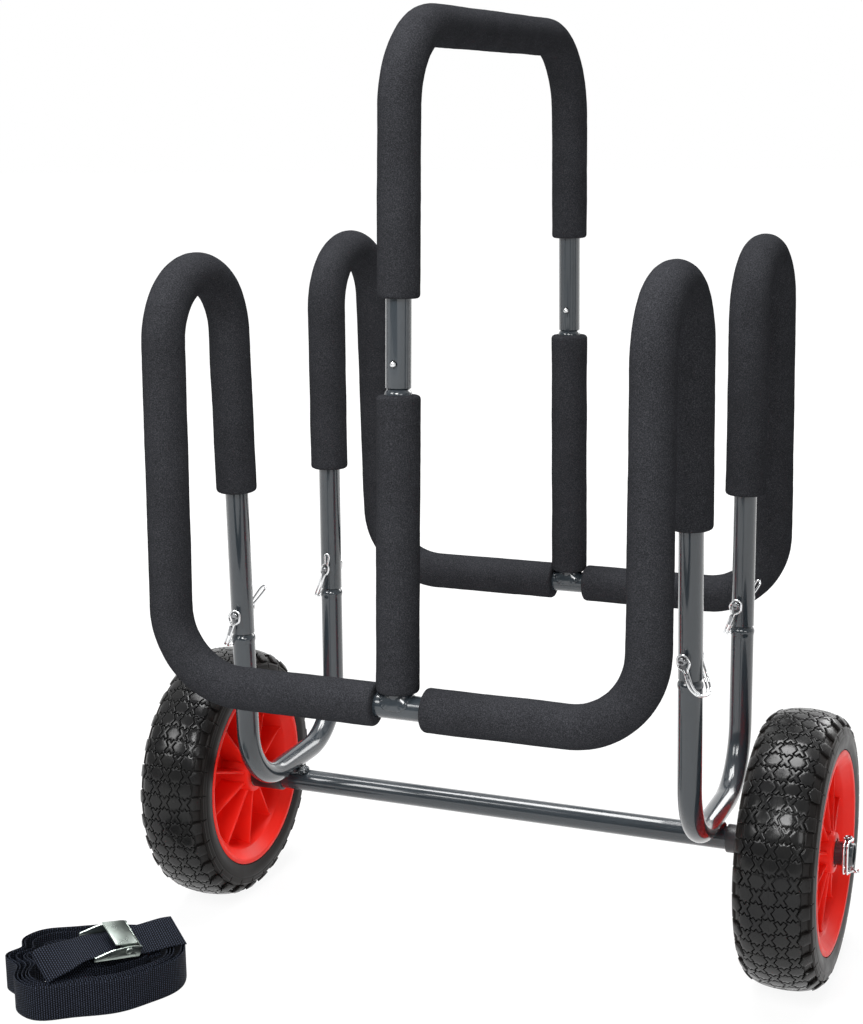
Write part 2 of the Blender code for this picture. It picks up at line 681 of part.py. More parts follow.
def rim(name, side):
    """A moulded rim: lips, sloping barrel, centre web, hub and radial fins on both faces."""
    x = side * WHEEL_X
    half = [(RIM_HALF_W, 0.1050), (RIM_HALF_W, RIM_LIP_R), (RIM_HALF_W - 0.0035, RIM_LIP_R), (0.0260, 0.0965)]
    outer = [(-a, r) for a, r in half] + [(a, r) for a, r in reversed(half)]
    inner = [(0.0385, 0.1030), (0.0300, 0.0930), (0.0030, 0.0880), (0.0030, HUB_R), (0.0385, HUB_R - 0.0008),
             (RIM_HALF_W, HUB_R - 0.0025), (RIM_HALF_W, 0.0155)]
    back = [(-a, r) for a, r in reversed(inner)]
    profile = outer + inner + back
    wheel = turned(name, profile, (x, 0.0, WHEEL_R), (1, 0, 0), RED, 28)
    fins = []
    for k in range(RIM_FINS):
        turn = FIN_START + 2 * math.pi * k / RIM_FINS
        bm = bmesh.new()
        outline = [(0.0345, HUB_R - 0.0030), (0.0262, 0.0942), (-0.0262, 0.0942), (-0.0345, HUB_R - 0.0030)]
        ends = [[bm.verts.new((a, t * FIN_T / 2, r)) for a, r in outline] for t in (-1, 1)]
        bm.faces.new(ends[0])
        bm.faces.new(reversed(ends[1]))
        for i in range(4):
            bm.faces.new((ends[0][(i + 1) % 4], ends[0][i], ends[1][i], ends[1][(i + 1) % 4]))
        bmesh.ops.recalc_face_normals(bm, faces=bm.faces)
        spin = Matrix.Translation((x, 0.0, WHEEL_R)) @ Matrix.Rotation(turn - math.pi / 2, 4, "X")
        bmesh.ops.transform(bm, matrix=spin, verts=bm.verts)
        fins.append(object_from(bm, "fin", None, cutter=True))
    wheel = combine(wheel, fins, "UNION")
    return put_origin(wheel, (x, 0.0, WHEEL_R))


def tyre(name, side):
    """A solid tyre: round crown and shoulders outside, seated on the rim's barrel inside."""
    x = side * WHEEL_X
    crown = [(RIM_HALF_W + 0.0006, 0.1104), (TYRE_HALF_W, 0.1215), (0.0398, 0.1345), (0.0320, 0.1435),
             (0.0190, 0.1483), (0.0, WHEEL_R)]
    seat = [(0.0362, 0.1104), (0.0257, 0.0975)]
    outer = [(-a, r) for a, r in crown] + [(a, r) for a, r in reversed(crown[:-1])]
    inner = seat + [(-a, r) for a, r in reversed(seat)]
    ring = turned(name, outer + inner, (x, 0.0, WHEEL_R), (1, 0, 0), TYRE, 36)
    return put_origin(ring, (x, 0.0, WHEEL_R))


def sleeve(name, x, half, radius, bore, mat):
    profile = [(-half, bore), (-half, radius - 0.0008), (-half + 0.0008, radius), (half - 0.0008, radius),
               (half, radius - 0.0008), (half, bore)]
    return turned(name, profile, (x, 0.0, WHEEL_R), (1, 0, 0), mat, 16)


def wheels():
    for side, name in ((-1, "left"), (1, "right")):
        rim(name + "_rim", side)
        tyre(name + "_tyre", side)
        half = RIM_HALF_W - 0.004
        profile = [(-half, RUNNING_BORE_R), (-half, 0.0152), (half, 0.0152), (half, RUNNING_BORE_R)]
        centre = (side * WHEEL_X, 0.0, WHEEL_R)
        bush = turned(name + "_wheel_bush", profile, centre, (1, 0, 0), BEARING, 16)
        put_origin(bush, (side * WHEEL_X, 0.0, WHEEL_R))
        inner_end = SIDE_X + TUBE_R + 0.0015
        outer_end = WHEEL_X - RIM_HALF_W - 0.0006
        sleeve(name + "_axle_spacer", side * (inner_end + outer_end) / 2, (outer_end - inner_end) / 2,
               SPACER_R, RUNNING_BORE_R, BLACK)
        axle_pin_set(name, side)


# Tie-down strap

def ribbon(name, line, across, mat):
    """A flat band along a line, with its width along one direction."""
    half = Vector(across) / 2
    bm = bmesh.new()
    rows = [[bm.verts.new(p + side) for p in line] for side in (-half, half)]
    for i in range(len(line) - 1):
        bm.faces.new((rows[0][i], rows[0][i + 1], rows[1][i + 1], rows[1][i]))
    band = object_from(bm, name, mat)
    shell = band.modifiers.new("thickness", "SOLIDIFY")
    shell.thickness = WEB_T
    shell.offset = 0.0
    shell.use_even_offset = True
    return baked(band)


def hank_point(turns):
    """The hank's middle line: an oblong spiral with dents in it, closing in by one pitch a turn.

    The inner turns are pressed in from behind, so that the hollow between the walls is narrow.
    """
    angle = 2 * math.pi * turns + HANK_START
    a, b = HANK_HALF
    radius = abs(math.cos(angle) / a) ** HANK_SQUARE + abs(math.sin(angle) / b) ** HANK_SQUARE
    radius **= -1 / HANK_SQUARE
    for at, spread, depth in HANK_DENTS:
        off = (math.degrees(angle) - at + 180) % 360 - 180
        radius *= 1 + depth * math.exp(-((off / spread) ** 2))
    radius -= HANK_PITCH * turns
    at, spread, depth = HANK_SQUEEZE
    off = (math.degrees(angle) - at + 180) % 360 - 180
    first, easing = HANK_SQUEEZE_TURNS
    share = min(1.0, max(0.0, (turns - first) / easing))
    radius -= share * share * (3 - 2 * share) * depth * math.exp(-((off / spread) ** 2))
    angle += HANK_TURN
    return Vector((HANK_CENTRE[0] + radius * math.cos(angle), HANK_CENTRE[1] + radius * math.sin(angle),
                   WEB_W / 2 + GAP))


def strap_hank():
    """The wound strap, standing on edge: one unbroken band."""
    per_turn = 26
    count = HANK_TURNS * per_turn
    line = [hank_point(k / per_turn) for k in range(count + 1)]
    ribbon("strap_hank", line, (0.0, 0.0, WEB_W), WEBBING)
    fine = 4
    dots = [hank_point(k / per_turn / fine) for k in range(count * fine + 1)]
    turn = per_turn * fine
    least = min((dots[i] - dots[j]).length for i in range(0, len(dots), 3)
                for j in range(i + turn // 2, min(len(dots), i + 3 * turn // 2)))
    length = sum((b - a).length for a, b in zip(line, line[1:]))
    print(f"strap hank: {length:.3f} m of webbing, least gap to itself {(least - WEB_T) * 1000:.2f} mm")


def buckle_frame():
    """Places buckle and lap: X along the strap, Y across it, Z out of its face."""
    tilt, pitch, turn = BUCKLE_TURN
    lie = Matrix.Rotation(turn, 4, "Z") @ Matrix.Rotation(pitch, 4, "Y") @ Matrix.Rotation(tilt, 4, "X")
    return Matrix.Translation(BUCKLE_CENTRE) @ lie


def outline_plate(name, outline, width, mat, holes=(), cutter=False):
    """A flat outline in the strap's length and height, as wide as given across the strap."""
    curve = bpy.data.curves.new(name, "CURVE")
    curve.dimensions = "2D"
    curve.fill_mode = "BOTH"
    curve.extrude = width / 2
    for loop in (outline, *holes):
        spline = curve.splines.new("POLY")
        spline.points.add(len(loop) - 1)
        for i, (a, b) in enumerate(loop):
            spline.points[i].co = (a, b, 0.0, 1.0)
        spline.use_cyclic_u = True
    obj = place(bpy.data.objects.new(name, curve), None, cutter)
    bpy.context.view_layer.update()
    mesh = bpy.data.meshes.new_from_object(obj.evaluated_get(bpy.context.evaluated_depsgraph_get()))
    bpy.data.objects.remove(obj, do_unlink=True)
    bm = bmesh.new()
    bm.from_mesh(mesh)
    bmesh.ops.remove_doubles(bm, verts=bm.verts, dist=1e-6)
    bmesh.ops.recalc_face_normals(bm, faces=bm.faces)
    bmesh.ops.transform(bm, matrix=Matrix.Rotation(math.pi / 2, 4, "X"), verts=bm.verts)
    return object_from(bm, name, mat, cutter)


def ring_points(centre, radius, count):
    return [(centre[0] + radius * math.cos(2 * math.pi * k / count),
             centre[1] + radius * math.sin(2 * math.pi * k / count)) for k in range(count)]


def buckle():
    """A cam buckle: cheeks, floor and end bar in one pressing, a lever between the cheeks, and its pin."""
    frame = buckle_frame()
    inner = WEB_W / 2 + 0.0013
    cheek_t = 0.0016
    cheek = [(-0.0262, 0.0010), (-0.0258, -0.0024), (0.0268, -0.0024), (0.0280, -0.0010), (0.0280, 0.0112),
             (0.0200, 0.0129), (0.0120, 0.0128), (-0.0020, 0.0112), (-0.0087, 0.0096), (-0.0262, 0.0026)]
    floor = [(-0.0120, -0.0021), (0.0258, -0.0021), (0.0258, -0.0009), (-0.0120, -0.0009)]
    body = outline_plate("buckle_body", floor, 2 * inner + 0.0008, ZINC)
    end_bar = [(0.0262, 0.0036), (0.0275, 0.0036), (0.0275, 0.0106), (0.0262, 0.0106)]
    others = [outline_plate("end_bar", end_bar, 2 * inner + 0.0008, None, cutter=True)]
    for sign in (-1, 1):
        hole = ring_points(BUCKLE_PIVOT, 0.0029, 12)
        plate = outline_plate("cheek", cheek, cheek_t, None, [hole], cutter=True)
        plate.location = (0.0, sign * (inner + cheek_t / 2), 0.0)
        others.append(plate)
    body = combine(body, others, "UNION")
    lever = [(0.0223, 0.0136), (0.0223, 0.0150), (-0.0034, 0.0159), (-0.0039, 0.0144), (0.0070, 0.0134),
             (0.0072, 0.0105), (0.0070, 0.0075), (0.0083, 0.0037), (0.0114, 0.0020), (0.0136, 0.0020),
             (0.0146, 0.0032), (0.0162, 0.0033), (0.0166, 0.0049), (0.0180, 0.0056), (0.0176, 0.0076),
             (0.0182, 0.0132)]
    cam = outline_plate("cam_lever", lever, WEB_W, ZINC, [ring_points(BUCKLE_PIVOT, 0.0031, 12)])
    half = inner + cheek_t + 0.0016
    rivet = [(-half, 0.0), (-half, 0.0036), (-half + 0.0012, 0.0044), (-half + 0.0012, 0.0025)]
    rivet += [(-a, r) for a, r in reversed(rivet)]
    pin = turned("cam_pin", rivet, (BUCKLE_PIVOT[0], 0.0, BUCKLE_PIVOT[1]), (0, 1, 0), ZINC, 10)
    for obj in (body, cam, pin):
        obj.data.transform(frame)
        put_origin(obj, frame @ Vector((BUCKLE_PIVOT[0], 0.0, BUCKLE_PIVOT[1])))


def strap_lap():
    """The strap's own end, through the buckle: it lies over the hank and folds under at its left."""
    frame = buckle_frame()
    line = [(0.080, 0.002, 0.0090), (0.055, 0.0, 0.0045), (0.030, 0.0, 0.0012), (0.0, 0.0, 0.00075),
            (-0.027, 0.0, 0.00075), (-0.048, -0.002, -0.0030), (-0.062, -0.005, -0.0080),
            (-0.071, -0.007, -0.0130), (-0.0735, -0.008, -0.0160), (-0.070, -0.008, -0.0185),
            (-0.060, -0.006, -0.0170), (-0.040, -0.003, -0.0095)]
    across = frame.to_3x3() @ Vector((0.0, WEB_W, 0.0))
    ribbon("strap_lap", [frame @ Vector(p) for p in line], across, WEBBING)


axle()
brackets()
cradles()
posts()
handle()
wheels()
for pin_place, pin_spot in PIN_SPOTS.items():
    leg_pin_set(pin_place, pin_spot)
strap_hank()
strap_lap()
buckle()
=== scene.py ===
"""Looks of the double paddleboard cart: every piece that shows, its material, the studio and the camera."""
import math

import bmesh
import bpy
import numpy as np
from mathutils import Matrix, Vector, noise
from mathutils.geometry import delaunay_2d_cdt


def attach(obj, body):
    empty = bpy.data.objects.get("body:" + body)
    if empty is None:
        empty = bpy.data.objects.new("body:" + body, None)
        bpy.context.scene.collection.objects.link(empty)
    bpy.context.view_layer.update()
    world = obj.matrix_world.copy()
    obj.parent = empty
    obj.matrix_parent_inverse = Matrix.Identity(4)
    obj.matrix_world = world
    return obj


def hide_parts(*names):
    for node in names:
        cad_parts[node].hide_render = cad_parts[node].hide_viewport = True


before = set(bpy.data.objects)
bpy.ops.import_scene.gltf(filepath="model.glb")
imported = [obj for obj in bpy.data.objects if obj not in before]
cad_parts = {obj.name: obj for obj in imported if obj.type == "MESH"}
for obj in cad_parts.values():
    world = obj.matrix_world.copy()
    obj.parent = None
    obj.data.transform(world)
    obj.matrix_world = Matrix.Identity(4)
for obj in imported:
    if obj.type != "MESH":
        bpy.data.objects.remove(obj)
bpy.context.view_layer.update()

# Sizes from the part's source, in metres
TUBE_R = 0.0127
NECK_R = 0.0106
NECK_BORE_R = 0.0113
FOAM_R = 0.0223
HANDLE_FOAM_R = 0.0211
POST_FOAM_R = 0.0218
WHEEL_R = 0.150
WHEEL_X = 0.350
SIDEWALL_TO_TREAD = (0.136, 0.146)
RIM_HALF_W = 0.0400
RIM_LIP_R = 0.1097
RIM_FINS = 10
FIN_START = math.radians(18)
HUB_R = 0.0228
FIN_REACH = (HUB_R - 0.003, 0.0952)
FIN_TOP = (0.0345, 0.0262)
AXLE_END_X = 0.409
SPACER_R = 0.0155
BUSH_BORE_R = 0.01301
SIDE_X = 0.258
LEG_Y = 0.1125
LEG_SPLAY = 0.020
BRACKET_BEND_R = 0.072
NECK_LENGTH = 0.0545
NECK_Z = {-1: 0.3626, 1: 0.3593}
CRADLE_Y = 0.268
UPRIGHT_LEAN = 0.028
BAR_Z = 0.352
HOOK_TOP_Z = 0.772
HOOK_BEND_R = 0.068
CORNER_BEND_R = 0.080
# Where each cradle's leg foam ends, left then right, and where its bar foam stops short of the post
LEG_FOAM_Z = {"front": (0.526, 0.520), "rear": (0.510, 0.510)}
BAR_FOAM_X = {"front": (-0.0222, 0.0298), "rear": (-0.0190, 0.0213)}
POST_JOINT_Z = 0.670
FRONT_POST_LEAN = 0.054
REAR_POST_LEAN = 0.006
HANDLE_TOP_Z = 1.017
HANDLE_BEND_R = 0.088
HANDLE_FOAM_FRONT_Z = 0.757
HANDLE_FOAM_REAR_Z = 0.782
POST_FOAM_Z = (0.3672, 0.6640)
POST_WELD = 0.0042
PIN_R = 0.00315
PIN_HEAD_R = 0.0042
PIN_HALF = 0.0205
PIN_Z = 0.3865
RIGHT_PIN_TURN = math.radians(12)
WIRE_R = 0.0012
EYE_S = 0.0175
BAIL_LEAN = math.radians(20)
FINGER_BEND = math.radians(25)
FINGER_ROOT = 0.0050
STRAND_HALF = 0.0020
AXLE_PIN_X = 0.4026
# A ferrule's width, length and thickness
FERRULE = (0.0050, 0.0112, 0.0030)
FERRULE_START = 0.0130
BUTTON_R = 0.0032
BUTTON_TOP = 0.0159
BUTTON_Z = 0.695
BEND_STEP = math.radians(5)
WEB_W = 0.038
WEB_T = 0.0015
RIB = 0.0026
RIB_HEIGHT = 0.00016
HANK_CENTRE = (-0.3587, -0.2946)
HANK_TURN = math.radians(30)
HANK_HALF = (0.1025, 0.0735)
HANK_SQUARE = 2.4
HANK_START = math.radians(70)
HANK_TURNS = 5
HANK_PITCH = 0.0036
# Each dent in the hank: its place and spread in degrees, and its depth as a share of the radius
HANK_DENTS = ((-38, 24, -0.11), (-127, 15, 0.11), (-168, 15, -0.18), (160, 9, -0.15), (130, 14, 0.075))
# The inner turns' squeeze: its place, spread and depth, then the turn it starts at and how long it takes
HANK_SQUEEZE = (95, 66, 0.038)
HANK_SQUEEZE_TURNS = (1.9, 0.8)
# The last inner turn: how much of a turn it is, how soon it draws in, and by how much
HANK_INNER = (0.8, 0.25, 0.016)
BUCKLE_CENTRE = (-0.3346, -0.3003, 0.0549)
# The buckle's tilt, pitch and turn
BUCKLE_TURN = (math.radians(19.3), math.radians(9.0), math.radians(58.9))
PRESSED_EDGE = 0.00018


# Camera

PHOTO_HEIGHT = 1024
FOCAL_PIXELS = 1830.45
SHIFT_PIXELS = (5.41, -24.01)
CAMERA_PLACE = (0.71634, -1.86322, 0.92436)
CAMERA_TURN = (23.134, -11.329, -0.971)


def camera():
    """The photograph's viewpoint, as it was fitted: turn, tilt and roll are in degrees."""
    yaw, pitch, roll = (math.radians(a) for a in CAMERA_TURN)
    ahead = Vector((-math.sin(yaw) * math.cos(pitch), math.cos(yaw) * math.cos(pitch), math.sin(pitch)))
    level = Vector((math.cos(yaw), math.sin(yaw), 0.0))
    upright = level.cross(ahead)
    right = math.cos(roll) * level + math.sin(roll) * upright
    up = math.cos(roll) * upright - math.sin(roll) * level
    data = bpy.data.cameras.new("camera")
    data.sensor_width = 36
    data.lens = data.sensor_width * FOCAL_PIXELS / PHOTO_HEIGHT
    data.shift_x, data.shift_y = (p / PHOTO_HEIGHT for p in SHIFT_PIXELS)
    data.clip_end = 100
    cam = bpy.data.objects.new("camera", data)
    bpy.context.scene.collection.objects.link(cam)
    cam.matrix_world = Matrix((right, up, -ahead)).transposed().to_4x4()
    cam.location = CAMERA_PLACE
    bpy.context.scene.camera = cam


# Materials

def add(owner, kind, settings=None, **values):
    """A shader node with its settings and its inputs, which are numbers, colours or other nodes' outputs."""
    made = owner.node_tree.nodes.new("ShaderNode" + kind)
    for key, value in (settings or {}).items():
        setattr(made, key, value)
    for key, value in values.items():
        socket = made.inputs[int(key[1:])] if key[1:].isdigit() else made.inputs[key.replace("_", " ")]
        if isinstance(value, bpy.types.NodeSocket):
            owner.node_tree.links.new(value, socket)
        else:
            socket.default_value = value
    return made


def maths(owner, operation, *values, clamp=False):
    inputs = {f"_{i}": value for i, value in enumerate(values)}
    return add(owner, "Math", {"operation": operation, "use_clamp": clamp}, **inputs).outputs[0]


def span(owner, value, low, high, first, last):
    """A value that runs from low to high, made to run from first to last."""
    return add(owner, "MapRange", Value=value, _1=low, _2=high, _3=first, _4=last).outputs[0]


def material(name, colour, roughness, metallic=0.0, **extra):
    mat = bpy.data.materials.new(name)
    mat.use_nodes = True
    shader = mat.node_tree.nodes["Principled BSDF"]
    values = dict(Base_Color=(*colour, 1.0), Roughness=roughness, Metallic=metallic, **extra)
    for key, value in values.items():
        shader.inputs[key.replace("_", " ")].default_value = value
    return mat


def feed(mat, name, output):
    """Joins a node's output to an input of the material's main shader."""
    mat.node_tree.links.new(output, mat.node_tree.nodes["Principled BSDF"].inputs[name])


def ramp(mat, factor, stops):
    made = add(mat, "ValToRGB", Fac=factor)
    bar = made.color_ramp
    while len(bar.elements) < len(stops):
        bar.elements.new(0.5)
    for element, (at, colour) in zip(bar.elements, stops):
        element.position = at
        element.color = (*colour, 1.0) if hasattr(colour, "__len__") else (colour, colour, colour, 1.0)
    return made.outputs["Color"]


def grain(mat, scale, detail=3.0, rough=0.55, kind="Object", stretch=None):
    """Noise by the piece's own coordinates, in metres."""
    spot = add(mat, "TexCoord").outputs[kind]
    if stretch:
        spot = add(mat, "Mapping", Vector=spot, Scale=stretch).outputs[0]
    return add(mat, "TexNoise", Vector=spot, Scale=scale, Detail=detail, Roughness=rough).outputs["Fac"]


def mixed(mat, share, first, second, how="MIX"):
    """Two colours mixed, or the first one multiplied by the second, by a share."""
    made = add(mat, "Mix", {"data_type": "RGBA", "blend_type": how}, _0=share, _6=first, _7=second)
    return made.outputs[2]


def bump(mat, height, distance, strength=1.0, under=None):
    made = add(mat, "Bump", Height=height, Distance=distance, Strength=strength)
    if under:
        mat.node_tree.links.new(under, made.inputs["Normal"])
    feed(mat, "Normal", made.outputs[0])
    return made.outputs[0]


def paint():
    """Dark grey gloss powder coat: a faint orange peel under a clear skin."""
    mat = material("grey_gloss_paint", (0.030, 0.038, 0.045), 0.20, Coat_Weight=0.6, Coat_Roughness=0.03)
    cloud = grain(mat, 14.0, 2.0)
    feed(mat, "Base Color", ramp(mat, cloud, ((0.3, (0.028, 0.036, 0.043)), (0.7, (0.033, 0.041, 0.049)))))
    feed(mat, "Roughness", ramp(mat, cloud, ((0.3, 0.16), (0.7, 0.22))))
    bump(mat, grain(mat, 420.0, 2.0), 0.00002, 0.10)
    return mat


def foam():
    """Closed-cell foam: a fine grain of cells with a few deeper pores."""
    mat = material("black_foam", (0.03, 0.03, 0.035), 1.0, Specular_IOR_Level=0.0)
    cells = grain(mat, 950.0, 3.0, 0.75)
    tone = ramp(mat, cells, ((0.36, (0.0170, 0.0176, 0.0198)), (0.52, (0.0290, 0.0298, 0.0335)),
                             (0.68, (0.0600, 0.0615, 0.0680))))
    patches = ramp(mat, grain(mat, 24.0, 3.0, 0.5), ((0.35, 0.94), (0.65, 1.07)))
    feed(mat, "Base Color", mixed(mat, 1.0, tone, patches, "MULTIPLY"))
    spot = add(mat, "TexCoord").outputs["Object"]
    pores = add(mat, "TexVoronoi", Vector=spot, Scale=420.0).outputs["Distance"]
    pits = ramp(mat, pores, ((0.0, 0.0), (0.16, 0.85), (0.4, 1.0)))
    bump(mat, pits, 0.0002, 0.35, bump(mat, cells, 0.00032, 0.5))
    return mat


def rubber():
    """Tyre rubber: satin black on the tread, duller and browner on the sidewalls."""
    mat = material("tyre_rubber", (0.008, 0.008, 0.008), 0.22, Specular_IOR_Level=0.26)
    spot = add(mat, "TexCoord").outputs["Object"]
    off = add(mat, "VectorMath", {"operation": "SUBTRACT"}, _0=spot, _1=(0.0, 0.0, WHEEL_R)).outputs[0]
    flat = add(mat, "VectorMath", {"operation": "MULTIPLY"}, _0=off, _1=(0.0, 1.0, 1.0)).outputs[0]
    reach = add(mat, "VectorMath", {"operation": "LENGTH"}, _0=flat).outputs["Value"]
    tread_share = span(mat, reach, *SIDEWALL_TO_TREAD, 0.0, 1.0)
    polish = ramp(mat, grain(mat, 45.0, 4.0), ((0.3, 0.15), (0.7, 0.28)))
    feed(mat, "Roughness", maths(mat, "MULTIPLY_ADD", tread_share, -0.14, maths(mat, "ADD", polish, 0.14)))
    feed(mat, "Specular IOR Level", span(mat, tread_share, 0.0, 1.0, 0.10, 0.26))
    patches = grain(mat, 18.0)
    top = ramp(mat, patches, ((0.35, (0.0085, 0.0085, 0.0090)), (0.7, (0.0145, 0.0145, 0.0140))))
    side = ramp(mat, patches, ((0.35, (0.0085, 0.0070, 0.0065)), (0.7, (0.0130, 0.0108, 0.0098))))
    feed(mat, "Base Color", mixed(mat, tread_share, side, top))
    fine = bump(mat, grain(mat, 900.0), 0.00010, 0.35)
    bump(mat, grain(mat, 120.0, 2.0), 0.0003, 0.25, fine)
    return mat


def red_plastic():
    """Moulded red plastic, satin, with slightly cloudy colour and shine."""
    mat = material("red_plastic", (0.98, 0.026, 0.015), 0.40, Specular_IOR_Level=0.18)
    reds = ((0.3, (0.95, 0.022, 0.012)), (0.7, (1.0, 0.029, 0.017)))
    feed(mat, "Base Color", ramp(mat, grain(mat, 25.0), reds))
    feed(mat, "Roughness", ramp(mat, grain(mat, 70.0), ((0.3, 0.34), (0.7, 0.48))))
    bump(mat, grain(mat, 350.0), 0.00008, 0.3)
    return mat


def plated(name, colour, low, high, scale, marks):
    """Plated steel with a faint haze, low to high in roughness, and rolling marks."""
    mat = material(name, colour, low, 1.0)
    feed(mat, "Roughness", ramp(mat, grain(mat, scale, 4.0, 0.6), ((0.3, low), (0.72, high))))
    dim = tuple(c * 0.92 for c in colour)
    feed(mat, "Base Color", ramp(mat, grain(mat, scale * 2.2), ((0.3, dim), (0.65, colour))))
    bump(mat, grain(mat, scale * 6), 0.00004, marks)
    return mat


def plain_plastic(name, colour, roughness):
    mat = material(name, colour, roughness)
    lighter = tuple(c * 1.35 for c in colour)
    feed(mat, "Base Color", ramp(mat, grain(mat, 60.0), ((0.3, colour), (0.7, lighter))))
    bump(mat, grain(mat, 700.0), 0.00008, 0.4)
    return mat


def webbing():
    """Woven polyester: ribs across the width, each broken into the warp's slanting stitches. Its colour
    follows the weave's height: near black in the valleys between ribs as painted shade, light and bluish on
    the rib crowns as painted highlight.
    """
    mat = material("black_webbing", (0.010, 0.010, 0.014), 0.75, Specular_IOR_Level=0.12)
    parts = add(mat, "SeparateXYZ", Vector=add(mat, "UVMap").outputs[0])
    along, across = parts.outputs[0], parts.outputs[1]
    turn = 2 * math.pi / RIB

    def wave(*terms):
        total = 0.0
        for socket, factor in terms:
            total = maths(mat, "MULTIPLY_ADD", socket, factor, total)
        return maths(mat, "SINE", total)

    woven = maths(mat, "MAXIMUM", wave((along, turn / 2), (across, turn)),
                  wave((along, turn / 2), (across, -turn)))
    height = maths(mat, "MULTIPLY_ADD", woven, 1.1, wave((along, turn)))
    level = span(mat, height, -1.6, 2.0, 0.0, 1.0)
    # Painted shade and highlight by weave height: the valleys are coloured near black as shade, the crowns
    # light blue-grey as highlight
    tone = ramp(mat, level, ((0.36, (0.0005, 0.0006, 0.0012)), (0.66, (0.0028, 0.0034, 0.0062)),
                             (0.92, (0.037, 0.047, 0.073))))
    fibres = grain(mat, 1.0, 2.0, 0.6, "UV", (9000.0, 700.0, 1.0))
    feed(mat, "Base Color", mixed(mat, 0.6, tone, ramp(mat, fibres, ((0.3, 0.55), (0.7, 1.3))), "MULTIPLY"))
    bump(mat, level, 0.00050, 1.0, bump(mat, fibres, 0.00006, 0.5))
    return mat


camera()
bpy.context.scene.view_settings.view_transform = "Standard"
PAINT = paint()
FOAM = foam()
RUBBER = rubber()
RED = red_plastic()
CHROME = plated("bright_plate", (0.80, 0.81, 0.82), 0.06, 0.18, 120.0, 0.1)
STEEL = plated("pin_steel", (0.27, 0.275, 0.285), 0.12, 0.26, 120.0, 0.1)
ZINC = plated("zinc_plate", (0.525, 0.595, 0.55), 0.26, 0.34, 60.0, 0.06)
BLACK = plain_plastic("black_plastic", (0.016, 0.016, 0.018), 0.38)
NYLON = plain_plastic("nylon", (0.62, 0.61, 0.56), 0.45)
WEBBING = webbing()


# Mesh helpers

def piece(name, verts, faces, mat, body, nodes=(), angle=38, uvs=None):
    """A mesh that rides on a body and stands for the CAD nodes named."""
    mesh = bpy.data.meshes.new(name)
    mesh.from_pydata([tuple(v) for v in verts], [], [tuple(f) for f in faces])
    mesh.validate()
    if uvs is not None:
        layer = mesh.uv_layers.new(name="UVMap")
        index = np.zeros(len(mesh.loops), np.int32)
        mesh.loops.foreach_get("vertex_index", index)
        layer.data.foreach_set("uv", np.asarray(uvs, np.float32)[index].ravel())
    mesh.shade_smooth()
    mesh.set_sharp_from_angle(angle=math.radians(angle))
    obj = bpy.data.objects.new(name, mesh)
    bpy.context.scene.collection.objects.link(obj)
    mesh.materials.append(mat)
    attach(obj, body)
    if nodes:
        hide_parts(*nodes)
    return obj


def mend(obj, doubles=False, holes=False):
    """Joins doubled points or closes holes where asked, and turns every face outwards."""
    bm = bmesh.new()
    bm.from_mesh(obj.data)
    if doubles:
        bmesh.ops.remove_doubles(bm, verts=bm.verts, dist=1e-6)
    if holes:
        bmesh.ops.holes_fill(bm, edges=bm.edges)
    bmesh.ops.recalc_face_normals(bm, faces=bm.faces)
    bm.to_mesh(obj.data)
    bm.free()


def grid_faces(rows, columns, close_rows=False, close_columns=False, start=0):
    """Quads over a grid of points numbered row by row."""
    faces = []
    for i in range(rows if close_rows else rows - 1):
        a, b = start + i * columns, start + (i + 1) % rows * columns
        for j in range(columns if close_columns else columns - 1):
            k = (j + 1) % columns
            faces.append((a + j, a + k, b + k, b + j))
    return faces


def capped_faces(rows, columns):
    """Quads over a stack of closed rings, and a face over each end."""
    ends = [tuple(reversed(range(columns))), tuple(range((rows - 1) * columns, rows * columns))]
    return grid_faces(rows, columns, False, True) + ends


def both_ends(half):
    """A profile of (along, radius) pairs and its mirror image."""
    return half + [(-a, r) for a, r in reversed(half)]


def directions(rows):
    """Rows of vectors, each made one long."""
    return rows / np.linalg.norm(rows, axis=1)[:, None]


def rounded(corners, radii):
    """A line through corner points with each inner corner rounded to its radius."""
    out = [Vector(corners[0])]
    for i in range(1, len(corners) - 1):
        here = Vector(corners[i])
        before = (Vector(corners[i - 1]) - here).normalized()
        after = (Vector(corners[i + 1]) - here).normalized()
        turn = math.pi - before.angle(after)
        reach = radii[i - 1] * math.tan(turn / 2)
        centre = here + (before + after).normalized() * (radii[i - 1] / math.cos(turn / 2))
        start = here + before * reach - centre
        axis = start.cross(here + after * reach - centre).normalized()
        count = max(2, round(turn / BEND_STEP))
        for k in range(count + 1):
            out.append(centre + Matrix.Rotation(turn * k / count, 3, axis) @ start)
    out.append(Vector(corners[-1]))
    kept = [out[0]]
    for point in out[1:]:
        if (point - kept[-1]).length > 1e-4:
            kept.append(point)
    return kept


class Line:
    """A line in space that can be read at any distance along it."""

    def __init__(self, points):
        self.points = np.array([tuple(p) for p in points])
        steps = np.linalg.norm(np.diff(self.points, axis=0), axis=1)
        self.at = np.concatenate([[0.0], np.cumsum(steps)])
        self.length = self.at[-1]

    def spots(self, distances):
        d = np.asarray(distances, float)
        out = np.stack([np.interp(d, self.at, self.points[:, i]) for i in range(3)], 1)
        for past, end, inner in ((d < 0, 0, 1), (d > self.length, -1, -2)):
            way = self.points[end] - self.points[inner]
            way /= np.linalg.norm(way)
            far = np.where(d < 0, -d, d - self.length)
            out[past] = self.points[end] + way * far[past][:, None]
        return out

    def where(self, index, value, from_end=False):
        order = range(len(self.points) - 1)
        for i in (reversed(order) if from_end else order):
            a, b = self.points[i][index], self.points[i + 1][index]
            if min(a, b) <= value <= max(a, b) and abs(b - a) > 1e-9:
                return self.at[i] + (value - a) / (b - a) * (self.at[i + 1] - self.at[i])
        raise ValueError("the line doesn't pass there")


